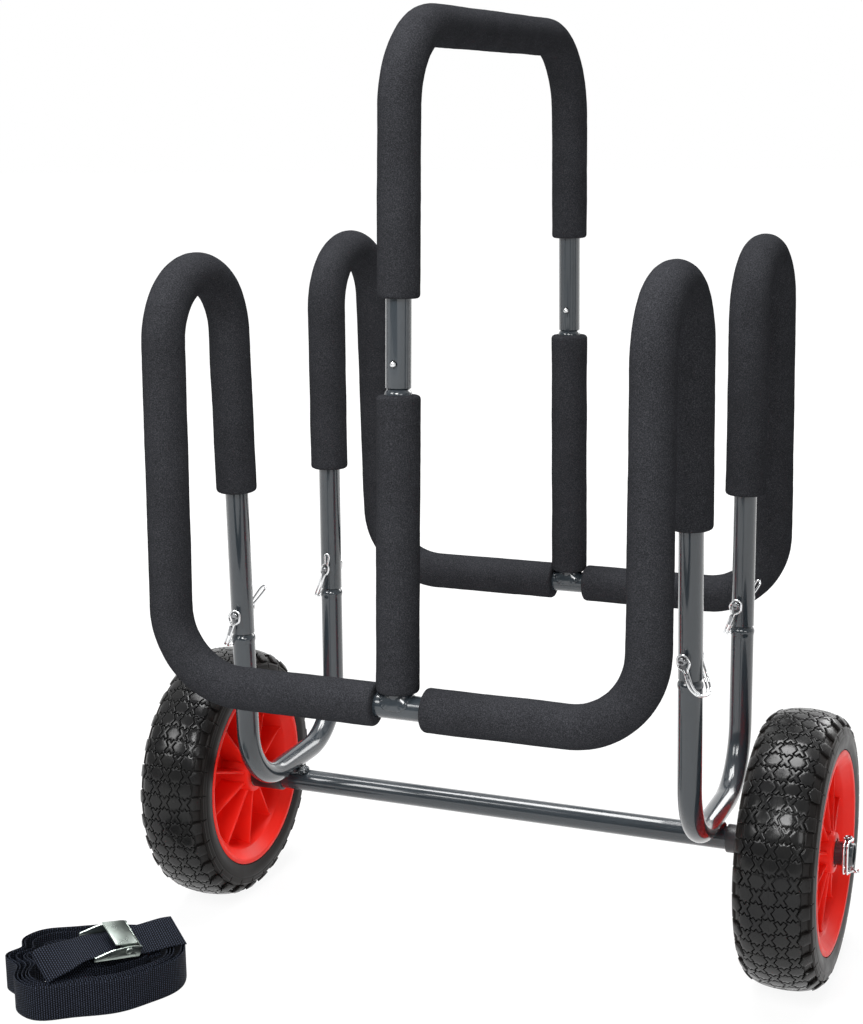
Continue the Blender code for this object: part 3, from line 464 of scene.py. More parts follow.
def smooth_line(points, per, closed=False):
    """A smooth line through the points given, with so many steps from each to the next."""
    p = [Vector(q) for q in points]
    count = len(p)
    out = []
    for i in range(count if closed else count - 1):
        a = p[(i - 1) % count] if closed or i else p[0] * 2 - p[1]
        b, c = p[i], p[(i + 1) % count]
        d = p[(i + 2) % count] if closed or i + 2 < count else p[-1] * 2 - p[-2]
        for k in range(per):
            t = k / per
            out.append(0.5 * (2 * b + (c - a) * t + (2 * a - 5 * b + 4 * c - d) * t * t
                              + (3 * b - a - 3 * c + d) * t ** 3))
    if not closed:
        out.append(p[-1])
    return out


def least_turned(way, order):
    """A direction square to the way at each place, turned as little as can be from the one before."""
    out = np.zeros_like(way)
    normal = np.array(Vector(way[order[0]]).orthogonal().normalized())
    for i in order:
        normal = normal - way[i] * (normal @ way[i])
        normal /= np.linalg.norm(normal)
        out[i] = normal
    return out


def rings(spots, way, normals, radii, sides):
    """Rings of points round a line, one at each spot."""
    angle = np.linspace(0, 2 * math.pi, sides, endpoint=False)[None, :, None]
    around = normals[:, None] * np.cos(angle) + np.cross(way, normals)[:, None] * np.sin(angle)
    return spots[:, None] + around * np.reshape(radii, (-1, 1, 1))


def wrapped(length, sides):
    """Texture places for rings: the distance along the line, and the share of the way round."""
    return np.stack([np.repeat(length, sides), np.tile(np.arange(sides) / sides * 0.08, len(length))], 1)


def wire_loop(name, spots, sides, mat, body, nodes):
    """A closed loop of wire, its last ring turned to meet its first."""
    spots = np.asarray([tuple(s) for s in spots])
    count = len(spots)
    way = directions(np.roll(spots, -1, 0) - np.roll(spots, 1, 0))
    normals = least_turned(way, range(count))
    last = normals[-1] - way[0] * (normals[-1] @ way[0])
    slip = math.atan2(np.cross(last, normals[0]) @ way[0], last @ normals[0])
    for i in range(count):
        normals[i] = Matrix.Rotation(slip * i / count, 3, Vector(way[i])) @ Vector(normals[i])
    points = rings(spots, way, normals, WIRE_R, sides)
    length = np.concatenate([[0], np.cumsum(np.linalg.norm(np.diff(points.mean(1), axis=0), axis=1))])
    faces = grid_faces(count, sides, True, True)
    return piece(name, points.reshape(-1, 3), faces, mat, body, nodes, uvs=wrapped(length, sides))


def pipe(line):
    """Distances and radii along a tube with softly cut ends and a bore in each."""
    cut = [(0.012, NECK_BORE_R), (0.0004, NECK_BORE_R), (0.0, NECK_BORE_R + 0.0004), (0.0, TUBE_R - 0.0006),
           (0.0002, TUBE_R - 0.0002), (0.0006, TUBE_R)]
    inner = line.at[(line.at > 0.002) & (line.at < line.length - 0.002)]
    return cut + [(d, TUBE_R) for d in inner] + [(line.length - d, r) for d, r in reversed(cut)]


def tube(name, line, run, mat, body, nodes=(), sides=32):
    """A pipe by its run of (distance, radius) pairs, whose skin may turn back inside itself at its ends."""
    d, radii = np.array(run).T
    way = directions(line.spots(d + 0.0008) - line.spots(d - 0.0008))
    points = rings(line.spots(d), way, least_turned(way, np.argsort(d, kind="stable")), radii, sides)
    return piece(name, points.reshape(-1, 3), capped_faces(len(d), sides), mat, body, nodes,
                 uvs=wrapped(d, sides))


def lathe(name, profile, centre, axis, mat, body, nodes=(), steps=96, closed=True, angle=38):
    """A shape turned about an axis. The profile lists (along, radius) pairs."""
    turn = np.array(Vector(axis).to_track_quat("Z", "Y").to_matrix())
    at = np.linspace(0, 2 * math.pi, steps, endpoint=False)
    prof = np.array(profile)
    local = np.stack([prof[:, 1][:, None] * np.cos(at), prof[:, 1][:, None] * np.sin(at),
                      np.repeat(prof[:, 0][:, None], steps, 1)], -1)
    verts = local.reshape(-1, 3) @ turn.T + np.array(centre)
    obj = piece(name, verts, grid_faces(len(profile), steps, closed, True), mat, body, nodes, angle)
    mend(obj, doubles=True)
    return obj


# Lines of the bent tubes, as in the part's source

def leg_y(z):
    return LEG_Y + LEG_SPLAY * (z - 0.300)


def upright_y(z):
    return CRADLE_Y - UPRIGHT_LEAN * (z - 0.350)


def post_y(facing, z):
    lean = FRONT_POST_LEAN if facing < 0 else -REAR_POST_LEAN
    return facing * (CRADLE_Y - lean * (z - BAR_Z))


def bracket_line(side):
    low, x = WHEEL_R + 2 * TUBE_R + 0.0003, side * SIDE_X
    front, rear = NECK_Z[-1] + NECK_LENGTH, NECK_Z[1] + NECK_LENGTH
    corners = [(x, -leg_y(front), front), (x, -leg_y(low), low), (x, leg_y(low), low), (x, leg_y(rear), rear)]
    return Line(rounded(corners, [BRACKET_BEND_R, BRACKET_BEND_R]))


def cradle_line(facing):
    half = [(leg_y(z), z) for z in (NECK_Z[facing] + 0.0006, HOOK_TOP_Z)]
    half += [(upright_y(z), z) for z in (HOOK_TOP_Z, BAR_Z)]
    left = [(-SIDE_X, facing * y, z) for y, z in half]
    right = [(SIDE_X, facing * y, z) for y, z in reversed(half)]
    bends = [HOOK_BEND_R, HOOK_BEND_R, CORNER_BEND_R]
    return Line(rounded(left + right, bends + bends[::-1]))


def handle_line():
    low = POST_JOINT_Z + 0.0003
    ends = ((-1, low), (-1, HANDLE_TOP_Z), (1, HANDLE_TOP_Z), (1, low))
    corners = [(0.0, post_y(facing, z), z) for facing, z in ends]
    return Line(rounded(corners, [HANDLE_BEND_R, HANDLE_BEND_R]))


def post_frame(facing):
    low = Vector((0.0, post_y(facing, BAR_Z), BAR_Z))
    up = (Vector((0.0, post_y(facing, HANDLE_TOP_Z), HANDLE_TOP_Z)) - low).normalized()
    return low, up


# Frame

def foam_sleeve(name, line, first, last, radius, seed):
    """A soft sleeve: rounded cut ends that close in on the tube, and a skin that is never quite true."""
    bore = TUBE_R + 0.0001
    end = [(0.004, bore), (0.0, bore), (0.0, TUBE_R + 0.0016), (0.0001, radius - 0.0048),
           (0.0005, radius - 0.0026), (0.0014, radius - 0.0011), (0.0028, radius - 0.0003), (0.0046, radius)]
    run = [(first + a, r) for a, r in end]
    run += [(d, radius) for d in np.arange(first + 0.008, last - 0.008, 0.004)]
    run += [(last - a, r) for a, r in reversed(end)]
    obj = tube(name + "_skin", line, run, FOAM, "frame", (name,), sides=48)
    mesh = obj.data
    normals = [v.normal.copy() for v in mesh.vertices]
    shift = Vector((seed * 3.1, seed * 1.7, 0.0))
    for vert, normal in zip(mesh.vertices, normals):
        at = vert.co * 22 + shift
        lump = noise.noise(at) * 0.00045 + noise.noise(at * 5.3) * 0.00016 + noise.noise(at * 17) * 0.00008
        vert.co += normal * lump
    return obj


def cradles():
    for facing, name in ((-1, "front"), (1, "rear")):
        line = cradle_line(facing)
        tube(name + "_cradle", line, pipe(line), PAINT, "frame", (name + "_cradle_tube",))
        left, right = line.where(2, LEG_FOAM_Z[name][0]), line.where(2, LEG_FOAM_Z[name][1], True)
        gap_left, gap_right = (line.where(0, x) for x in BAR_FOAM_X[name])
        foam_sleeve(name + "_left_foam", line, left, gap_left, FOAM_R, 1 + facing)
        foam_sleeve(name + "_right_foam", line, gap_right, right, FOAM_R, 5 + facing)


def shoulder(joint):
    """Distances and radii up a swaged tube end: full tube, a soft round collar, then the neck."""
    collar = ((-0.0120, TUBE_R), (-0.0100, 0.0128), (-0.0083, 0.0132), (-0.0064, 0.0135), (-0.0046, 0.0134),
              (-0.0032, 0.0129), (-0.0020, 0.0122), (-0.0010, 0.0115), (-0.0002, 0.0109), (0.0006, NECK_R),
              (0.004, NECK_R))
    return [(joint + d, r) for d, r in collar]


def brackets():
    for side, name in ((-1, "left"), (1, "right")):
        line = bracket_line(side)
        front, rear = line.where(2, NECK_Z[-1]), line.where(2, NECK_Z[1], True)
        run = [(0.0, NECK_R - 0.001), (0.001, NECK_R)]
        run += [(2 * front - d, r) for d, r in reversed(shoulder(front))]
        run += [(d, TUBE_R) for d in line.at if front + 0.014 < d < rear - 0.014]
        run += shoulder(rear) + [(line.length - 0.001, NECK_R), (line.length, NECK_R - 0.001)]
        tube(name + "_bracket", line, run, PAINT, "frame", (name + "_u_bracket",))
        weld_lens(name + "_weld", side)


def weld_lens(name, side):
    """A rippled weld in the crevice where a U bracket crosses the axle, and a rough bead beside it."""
    contact = Vector((side * SIDE_X, 0.0, WHEEL_R + TUBE_R))
    beside = contact + Vector((-side * 0.0115, -0.0030, 0.0008))
    beads = ((contact, 0.0122, 0.0122, 0.0064, 0.09), (beside, 0.0080, 0.0098, 0.0044, 0.26))
    rows, sides = 32, 64
    verts, faces = [], []
    for centre, wide, deep, high, rough in beads:
        faces += grid_faces(rows + 1, sides, False, True, len(verts))
        for i in range(rows + 1):
            tilt = math.pi * i / rows
            for k in range(sides):
                turn = 2 * math.pi * k / sides
                level = math.sin(tilt)
                ripple = 1 + 0.06 * math.sin(turn * 17 + 1.4 * math.sin(turn * 3)) * level ** 3
                way = Vector((math.cos(turn) * level, math.sin(turn) * level, math.cos(tilt)))
                ripple += rough * noise.noise(way * (2 + 8 * rough) + Vector((side, 0.0, wide * 500)))
                verts.append(centre + Vector((way.x * wide, way.y * deep, way.z * high)) * ripple)
    piece(name, verts, faces, PAINT, "frame", (name[:-5] + "_bracket_weld",), angle=60)


def post_weld(name, facing):
    """A fillet weld round the foot of a mast post: from the post it flares out over the bottom bar."""
    low, up = post_frame(facing)
    tilt = up.cross(Vector((1.0, 0.0, 0.0))).normalized()
    steps, rows = 160, 12
    verts = []
    for k in range(steps):
        turn = 2 * math.pi * k / steps
        c, sn = math.cos(turn), math.sin(turn)
        meet = math.sqrt(TUBE_R ** 2 - (0.985 * TUBE_R * sn) ** 2)
        wrap = math.radians(100) * sn
        wide = TUBE_R + POST_WELD
        first = Vector((TUBE_R * c, TUBE_R * sn, meet * 0.85 + 0.0080))
        corner = Vector(((TUBE_R + 0.0006) * c, (TUBE_R + 0.0006) * sn, meet))
        last = Vector((wide * math.copysign(abs(c) ** 0.45, c), TUBE_R * math.sin(wrap),
                       TUBE_R * math.cos(wrap)))
        ring = []
        for i in range(rows):
            t = i / (rows - 1)
            spot = first * (1 - t) ** 2 + corner * 2 * t * (1 - t) + last * t * t
            out = Vector((c, sn, 0.0)) * (1 - t) + Vector((0.0, last.y, last.z)).normalized() * t
            ripple = 0.00035 * math.sin(turn * 26 + 2 * math.sin(turn * 3))
            ripple *= math.exp(-((t - 0.86) / 0.10) ** 2)
            ripple += 0.0005 * noise.noise(spot * 150)
            ring.append(spot + out * (0.0006 + 0.0010 * t + ripple) * math.sin(math.pi * t) ** 0.4)
        ring = [Vector((first.x * 0.93, first.y * 0.93, first.z))] + ring
        ring.append(Vector((last.x, last.y * 0.93, last.z * 0.93)))
        verts += [low + Vector((v.x, 0.0, 0.0)) - tilt * v.y + up * v.z for v in ring]
    faces = grid_faces(steps, rows + 2, True, True)
    piece(name + "_weld", verts, faces, PAINT, "frame", (name + "_post_weld",), angle=60)


def posts():
    for facing, name in ((-1, "front"), (1, "rear")):
        low, up = post_frame(facing)
        joint = (POST_JOINT_Z - BAR_Z) / up.z
        line = Line([low, low + up * (joint + 0.070)])
        run = [(0.0, TUBE_R)] + [(d, TUBE_R) for d in np.arange(0.01, joint - 0.014, 0.02)] + shoulder(joint)
        run += [(joint + 0.060, NECK_R), (joint + 0.061, NECK_R - 0.001)]
        tube(name + "_post", line, run, PAINT, "frame", (name + "_mast_post",))
        post_weld(name, facing)
        foot = Line([low, low + up * (joint + 0.1)])
        first, last = ((z - BAR_Z) / up.z for z in POST_FOAM_Z)
        foam_sleeve(name + "_post_foam", foot, first, last, POST_FOAM_R, 9 + facing)
        button = low + up * ((BUTTON_Z - BAR_Z) / up.z)
        dome = [(-BUTTON_TOP, 0.0)]
        for k in range(1, 9):
            turn = math.pi / 2 * k / 8
            dome.append((-BUTTON_TOP + 0.0026 * (1 - math.cos(turn)), (BUTTON_R - 0.0001) * math.sin(turn)))
        dome += [(-0.0075, BUTTON_R - 0.0001), (-0.0075, 0.0)]
        body = name + "_button"
        lathe(body, dome, button, (0, 1, 0), CHROME, body, (name + "_snap_button",), 40, False)
        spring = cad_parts[body + "_spring"].data
        spring.materials.clear()
        spring.materials.append(CHROME)


def handle():
    line = handle_line()
    loop = tube("handle", line, pipe(line), PAINT, "frame", ("handle_loop",))
    for facing in (-1, 1):
        button = Vector((0.0, post_y(facing, BUTTON_Z), BUTTON_Z))
        hole_r = BUTTON_R + 0.0008
        bar = [(-0.02, hole_r), (-0.009, hole_r)]
        cutter = lathe("hole", bar, button, (0, 1, 0), PAINT, "frame", steps=24, closed=False)
        mend(cutter, holes=True)
        cut = loop.modifiers.new("hole", "BOOLEAN")
        cut.object = cutter
        cut.operation = "DIFFERENCE"
        cut.solver = "EXACT"
        bpy.context.view_layer.update()
        mesh = bpy.data.meshes.new_from_object(loop.evaluated_get(bpy.context.evaluated_depsgraph_get()))
        loop.modifiers.clear()
        loop.data = mesh
        bpy.data.objects.remove(cutter)
    loop.data.set_sharp_from_angle(angle=math.radians(38))
    first, last = line.where(2, HANDLE_FOAM_FRONT_Z), line.where(2, HANDLE_FOAM_REAR_Z, True)
    foam_sleeve("handle_foam", line, first, last, HANDLE_FOAM_R, 13)


def axle():
    x = AXLE_END_X
    end = [(-0.37, 0.0), (-0.37, 0.0110), (-x + 0.0004, 0.0110), (-x, 0.0114), (-x, TUBE_R - 0.0006),
           (-x + 0.0002, TUBE_R - 0.0002), (-x + 0.0006, TUBE_R)]
    profile = end + [(x, TUBE_R) for x in np.arange(-0.40, 0.401, 0.04)] + [(-a, r) for a, r in reversed(end)]
    lathe("axle", profile, (0, 0, WHEEL_R), (1, 0, 0), PAINT, "frame", ("axle_tube",), 40, False)
    for side, name in ((-1, "left"), (1, "right")):
        inner, outer = SIDE_X + TUBE_R + 0.0015, WHEEL_X - RIM_HALF_W - 0.0006
        half, x = (outer - inner) / 2, side * (outer + inner) / 2
        shape = both_ends([(-half, BUSH_BORE_R), (-half, SPACER_R - 0.001),
                           (-half + 0.0003, SPACER_R - 0.0003), (-half + 0.001, SPACER_R)])
        lathe(name + "_spacer", shape, (x, 0, WHEEL_R), (1, 0, 0), BLACK, "frame", (name + "_axle_spacer",),
              48)


# Wheels

TREAD_CELLS = 29
TREAD_ROUND = 2 * math.pi * WHEEL_R
PITCH = TREAD_ROUND / TREAD_CELLS
ROW = 0.0126
TREAD_EDGE = 0.0332
TREAD_START = {"left": math.radians(8.4), "right": math.radians(4.9)}
GROOVE = 0.0028
CROWN = [(0.0406, 0.1104), (0.0423, 0.1215), (0.0398, 0.1345), (0.0320, 0.1435), (0.0190, 0.1483),
         (0.0, WHEEL_R)]
TYRE_SEAT = [(0.0362, 0.1104), (0.0257, 0.0975), (-0.0257, 0.0975), (-0.0362, 0.1104)]
SEAM_STEPS = 400


class TyreSkin:
    """The tyre's outer skin, read by distance round it, distance across from its crown, and height off it."""

    def __init__(self):
        full = [(-a, r, 0.0) for a, r in CROWN] + [(a, r, 0.0) for a, r in reversed(CROWN[:-1])]
        dense = np.array([tuple(p) for p in smooth_line(full, 24)])[:, :2]
        steps = np.linalg.norm(np.diff(dense, axis=0), axis=1)
        self.v = np.concatenate([[0.0], np.cumsum(steps)])
        self.v -= self.v[-1] / 2
        self.a, self.r = dense[:, 0], dense[:, 1]
        da, dr = np.gradient(self.a), np.gradient(self.r)
        size = np.hypot(da, dr)
        self.na, self.nr = -dr / size, da / size
        self.edge = self.v[-1]

    def at(self, u, v, h):
        turn = np.asarray(u) / WHEEL_R
        v = np.asarray(v)
        a = np.interp(v, self.v, self.a) + np.interp(v, self.v, self.na) * h
        r = np.interp(v, self.v, self.r) + np.interp(v, self.v, self.nr) * h
        return np.stack(np.broadcast_arrays(a, r * np.cos(turn), r * np.sin(turn)), -1)


SKIN = TyreSkin()


def eased(outline, radius, count=2):
    """An outline with each corner rounded off in so many steps."""
    out = []
    total = len(outline)
    for i in range(total):
        a, b, c = (np.array(outline[(i + k) % total], float) for k in (-1, 0, 1))
        to_a, to_c = a - b, c - b
        reach = min(radius, np.linalg.norm(to_a) * 0.42, np.linalg.norm(to_c) * 0.42)
        p = b + to_a / np.linalg.norm(to_a) * reach
        q = b + to_c / np.linalg.norm(to_c) * reach
        for k in range(count + 1):
            t = k / count
            out.append((1 - t) ** 2 * p + 2 * t * (1 - t) * b + t * t * q)
    return np.array(out)


def inset(outline, amount):
    """An outline moved inwards."""
    ahead = directions(np.roll(outline, -1, 0) - outline)
    behind = directions(outline - np.roll(outline, 1, 0))
    way = directions(ahead + behind)
    return outline + np.stack([-way[:, 1], way[:, 0]], 1) * amount


def block_shape(outline, top):
    """A raised block on the skin as (u, v, height) points and faces, its top filled with small triangles."""
    loops = [(inset(outline, 0.00042), top), (inset(outline, 0.00016), top - 0.00010),
             (outline, top - 0.00038), (inset(outline, -0.00022), -GROOVE - 0.0002)]
    count = len(outline)
    verts = [np.column_stack([loop, np.full(count, h)]) for loop, h in reversed(loops)]
    verts = list(np.concatenate(verts))
    faces = grid_faces(4, count, False, True)
    rim = loops[0][0]
    low, high = rim.min(0), rim.max(0)
    inner = []
    for u in np.arange(low[0] + 0.0016, high[0] - 0.0008, 0.0030):
        for v in np.arange(low[1] + 0.0016, high[1] - 0.0008, 0.0026):
            if inside((u, v), rim) and np.min(np.hypot(*(rim - (u, v)).T)) > 0.0011:
                inner.append((u, v))
    points = [Vector(p) for p in rim] + [Vector(p) for p in inner]
    co, _, tris, origin, _, _ = delaunay_2d_cdt(points, [], [list(range(count))], 1, 1e-7)
    index = {}
    for k, came in enumerate(origin):
        if came and came[0] < count:
            index[k] = 3 * count + came[0]
        else:
            index[k] = len(verts)
            verts.append(np.array((co[k][0], co[k][1], top)))
    faces += [tuple(index[k] for k in tri) for tri in tris]
    return np.array(verts), faces


def inside(point, outline):
    """Whether a point lies inside an outline, by the sides that a line from it crosses."""
    x, y = point
    odd = False
    for (x0, y0), (x1, y1) in zip(outline, np.roll(outline, -1, 0)):
        if (y0 > y) != (y1 > y) and x < (x1 - x0) * (y - y0) / (y1 - y0) + x0:
            odd = not odd
    return odd


def mirrored(quarter):
    """A closed outline from its first quarter, which runs from one axis to the other, both included."""
    q = [np.array(p, float) for p in quarter]
    second = [p * (-1, 1) for p in reversed(q[:-1])]
    upper = q + second
    lower = [p * (1, -1) for p in reversed(upper[1:-1])]
    return np.array(upper + lower)


def tread_outlines():
    """A large block and the small cross between blocks, both about their own centres."""
    a, b = PITCH / 2, ROW
    tilt = math.radians(33)
    arm, half, gap = 0.0080, 0.00185, 0.00125
    d = np.array((math.cos(tilt), math.sin(tilt)))
    n = np.array((-math.sin(tilt), math.cos(tilt)))
    waist_u = (half / math.sin(tilt), 0.0)
    waist_v = (0.0, half / math.cos(tilt))
    cross = mirrored([waist_u, d * arm - n * half, d * arm + n * half, waist_v])
    wide = half + gap
    right, top = np.array((a, 0.0)), np.array((0.0, b))
    back, m = d * (-1, 1), np.array((-math.sin(tilt), -math.cos(tilt)))
    corner_a = right + back * (arm + gap) + m * wide
    corner_b = top - back * (arm + gap) + m * wide
    share = 1 - 0.00105 / 2 * math.hypot(a, b) / (a * b)

    def outward(point):
        level = point[0] / a + point[1] / b
        rise = -m[0] / a - m[1] / b
        return point - m * (share - level) / rise

    block = mirrored([(a - wide / math.sin(tilt), 0.0), corner_a, outward(corner_a), outward(corner_b),
                      corner_b, (0.0, b - wide / math.cos(tilt))])
    return eased(block, 0.0007), eased(cross, 0.0008)


def clipped(outline, limit):
    """The part of an outline below a limit in v."""
    out = []
    for p, q in zip(outline, np.roll(outline, -1, 0)):
        if p[1] <= limit:
            out.append(p)
        if (p[1] <= limit) != (q[1] <= limit):
            out.append(p + (q - p) * (limit - p[1]) / (q[1] - p[1]))
    return np.array(out)


def tread():
    """Every block of one tyre as points on the skin, and their faces."""
    block, cross = tread_outlines()
    edge_block = eased(clipped(block, TREAD_EDGE - 0.0008 - 2 * ROW), 0.0002, 1)
    half, v0, v1 = PITCH / 4 - 0.0006, TREAD_EDGE + 0.0002, 0.0432
    low = [(-half, v1), (-half, v0), (half, v0), (half, v1)]
    lug = low[:2] + [(-0.0062, v0 - 0.0004), (0.0, 0.0292), (0.0062, v0 - 0.0004)] + low[2:]
    shapes = {"block": (block, 0.0), "cross": (cross, 0.0), "edge": (edge_block, 0.0),
              "lug": (eased(lug, 0.0006), 0.0012), "low": (eased(low, 0.0006), -0.0019)}
    kinds = {kind: block_shape(outline, top) for kind, (outline, top) in shapes.items()}
    verts, faces = [], []
    total = 0

    def put(kind, u, v, flip):
        nonlocal total
        points, quads = kinds[kind]
        placed = points * ((1, -1, 1) if flip else (1, 1, 1)) + (u, v, 0.0)
        verts.append(placed)
        faces.extend(tuple(i + total for i in (q[::-1] if flip else q)) for q in quads)
        total += len(points)

    for cell in range(TREAD_CELLS):
        for row in range(-2, 3):
            shift = 0.5 if row % 2 else 0.0
            kind = "edge" if abs(row) == 2 else "block"
            put(kind, (cell + shift) * PITCH, row * ROW, row < 0)
            put("cross", (cell + shift + 0.5) * PITCH, row * ROW, False)
        for flip in (False, True):
            put("lug", (cell + 0.5) * PITCH, 0.0, flip)
            put("low", cell * PITCH, 0.0, flip)
    return np.concatenate(verts), faces


def sidewall(u, v):
    """Height of the tyre's skin under and beside the blocks."""
    far = np.abs(v)
    ease = np.clip((far - 0.0425) / 0.0030, 0, 1)
    height = -GROOVE * (1 - ease * ease * (3 - 2 * ease))
    place = (u / PITCH) % 1.0
    notch = np.clip(1 - np.abs(place - 0.25) * PITCH / 0.0011, 0, 1) * np.clip((0.0525 - far) / 0.002, 0, 1)
    height = height - 0.0013 * notch * ease
    height = height + 0.0005 * np.exp(-((far - 0.0475) / 0.0005) ** 2)
    return height - 0.0004 * np.exp(-((far - 0.0540) / 0.0006) ** 2)


def tyres():
    blocks, block_faces = tread()
    across = np.concatenate([np.linspace(-SKIN.edge, -0.042, 36), np.linspace(-0.0405, 0.0405, 25),
                             np.linspace(0.042, SKIN.edge, 36)])
    per_cell = np.array([0.0, 0.10, 0.19, 0.215, 0.235, 0.25, 0.265, 0.285, 0.31, 0.45, 0.6, 0.75, 0.9])
    u = np.concatenate([(per_cell + c) * PITCH for c in range(TREAD_CELLS)])
    grid_u, grid_v = np.meshgrid(u, across, indexing="ij")
    base = SKIN.at(grid_u, grid_v, sidewall(grid_u, grid_v))
    rows, columns = base.shape[:2]
    turn = u / WHEEL_R
    under = [np.stack([np.full(rows, a), r * np.cos(turn), r * np.sin(turn)], -1) for a, r in TYRE_SEAT]
    under = np.stack(under, 1)
    base = np.concatenate([base, under], 1)
    columns += len(TYRE_SEAT)
    faces = [f[::-1] for f in grid_faces(rows, columns, True, True)]
    lumps = SKIN.at(blocks[:, 0], blocks[:, 1], blocks[:, 2])
    start = rows * columns
    faces += [tuple(i + start for i in f) for f in block_faces]
    seam_u = np.linspace(0, TREAD_ROUND, SEAM_STEPS, endpoint=False)
    ridge = ((-0.00022, -0.0002), (0.0, 0.00010), (0.00022, -0.0002))
    seam = np.stack([SKIN.at(seam_u, np.full(SEAM_STEPS, v), h) for v, h in ridge], 1)
    start += len(lumps)
    faces += grid_faces(SEAM_STEPS, len(ridge), True, False, start)
    local = np.concatenate([base.reshape(-1, 3), lumps, seam.reshape(-1, 3)])
    for side, name in ((-1, "left"), (1, "right")):
        turned = local @ np.array(Matrix.Rotation(-TREAD_START[name], 3, "X"))
        placed = turned + (side * WHEEL_X, 0.0, WHEEL_R)
        mend(piece(name + "_tyre_skin", placed, faces, RUBBER, name + "_wheel", (name + "_tyre",), angle=50))


def rim_profile():
    barrel = [(0.0262, 0.0968), (0.0365, RIM_LIP_R), (0.0394, 0.1097), (0.0404, 0.1094), (0.0408, 0.1084),
              (0.0408, 0.1060), (0.0406, 0.1044), (0.0398, 0.1034), (0.0384, 0.1024), (0.0372, 0.1012),
              (0.0310, 0.0936), (0.0290, 0.0925), (0.0060, 0.0884), (0.0038, 0.0878), (0.0030, 0.0868)]
    hub = [(0.0030, HUB_R + 0.0012), (0.0050, HUB_R + 0.0002), (0.0370, HUB_R - 0.0008),
           (0.0388, HUB_R - 0.0014), (0.0396, HUB_R - 0.0026), (0.0396, 0.0182), (RIM_HALF_W, 0.0178),
           (RIM_HALF_W, 0.0155)]
    return both_ends(barrel + hub)


def fin(turn):
    """A radial fin on both faces of the web, thinner towards its rounded free edges."""
    verts, faces = [], []
    for side in (-1, 1):
        start = len(verts)
        spans = np.linspace(0, 1, 14)
        section = [(0.0, 0.0019), (0.55, 0.0015), (0.93, 0.00125), (0.975, 0.00105), (0.995, 0.0006),
                   (1.0, 0.0)]
        section = section + [(a, -t) for a, t in reversed(section[:-1])]
        for s in spans:
            r = FIN_REACH[0] + s * (FIN_REACH[1] - FIN_REACH[0])
            top = FIN_TOP[0] + s * (FIN_TOP[1] - FIN_TOP[0]) + 0.0022 * max(0.0, (s - 0.90) / 0.10) ** 2
            for a, t in section:
                flare = 1 + 0.5 * max(0.0, (s - 0.9) / 0.1) ** 2 + 0.7 * max(0.0, (0.1 - s) / 0.1) ** 2
                verts.append((side * a * top, t * flare * side, r))
        faces += grid_faces(len(spans), len(section), False, True, start)
    spin = Matrix.Rotation(turn - math.pi / 2, 3, "X")
    return [spin @ Vector(v) for v in verts], faces


def rims():
    for side, name in ((-1, "left"), (1, "right")):
        centre = Vector((side * WHEEL_X, 0.0, WHEEL_R))
        body = name + "_wheel"
        lathe(name + "_rim_barrel", rim_profile(), centre, (1, 0, 0), RED, body, (name + "_rim",), 144,
              angle=50)
        verts, faces = [], []
        for k in range(RIM_FINS):
            points, quads = fin(FIN_START + 2 * math.pi * k / RIM_FINS)
            faces += [tuple(i + len(verts) for i in q) for q in quads]
            verts += [centre + p for p in points]
        mend(piece(name + "_rim_fins", verts, faces, RED, body, angle=60), holes=True)
        half = RIM_HALF_W - 0.0015
        bush = both_ends([(-half, BUSH_BORE_R), (-half, 0.0148), (-half + 0.0004, 0.0152)])
        lathe(name + "_bush", bush, centre, (1, 0, 0), NYLON, body, (name + "_wheel_bush",), 48)


# Lock pins

# Each leg pin's x and end of the cart, the ways its head and its bail face, its turn, and how far its
# finger loop is splayed and drawn out
PIN_SPOTS = {
    "front_left": (-SIDE_X, -1, -1, -1, 0.0, 0.19, 0.008),
    "front_right": (SIDE_X, -1, -1, 1, RIGHT_PIN_TURN, 0.0, 0.0),
    "rear_left": (-SIDE_X, 1, 1, -1, 0.0, 0.0, 0.002),
    "rear_right": (SIDE_X, 1, -1, -1, RIGHT_PIN_TURN, 0.0, 0.0),
}
# Half eyes and finger loops of the wire bails, as (away, across) from the pin's axis
LEG_EYE = ((-0.0060, 0.0), (-0.0046, 0.0042), (0.0000, 0.0061), (0.0042, 0.0068), (0.0078, 0.0046),
           (0.0118, STRAND_HALF))
AXLE_EYE = ((-0.0047, 0.0), (-0.0030, 0.0037), (0.0022, 0.0046), (0.0084, STRAND_HALF))
TIP_EYE = ((0.0090, STRAND_HALF), (0.0032, 0.0046))
FINGER_ON = ((-0.0036, 0.0042), (-0.0075, 0.0018), (-0.0120, 0.0021), (-0.0205, 0.0026), (-0.0232, 0.0),
             (-0.0205, -0.0026), (-0.0120, -0.0021), (-0.0075, -0.0018), (-0.0036, -0.0042))
FINGER_ACROSS = ((0.0016, 0.0070), (0.0030, 0.0102), (0.0, 0.0124), (-0.0030, 0.0102), (-0.0022, 0.0070),
                 (-0.0046, 0.0030), (-0.0038, -0.0036))


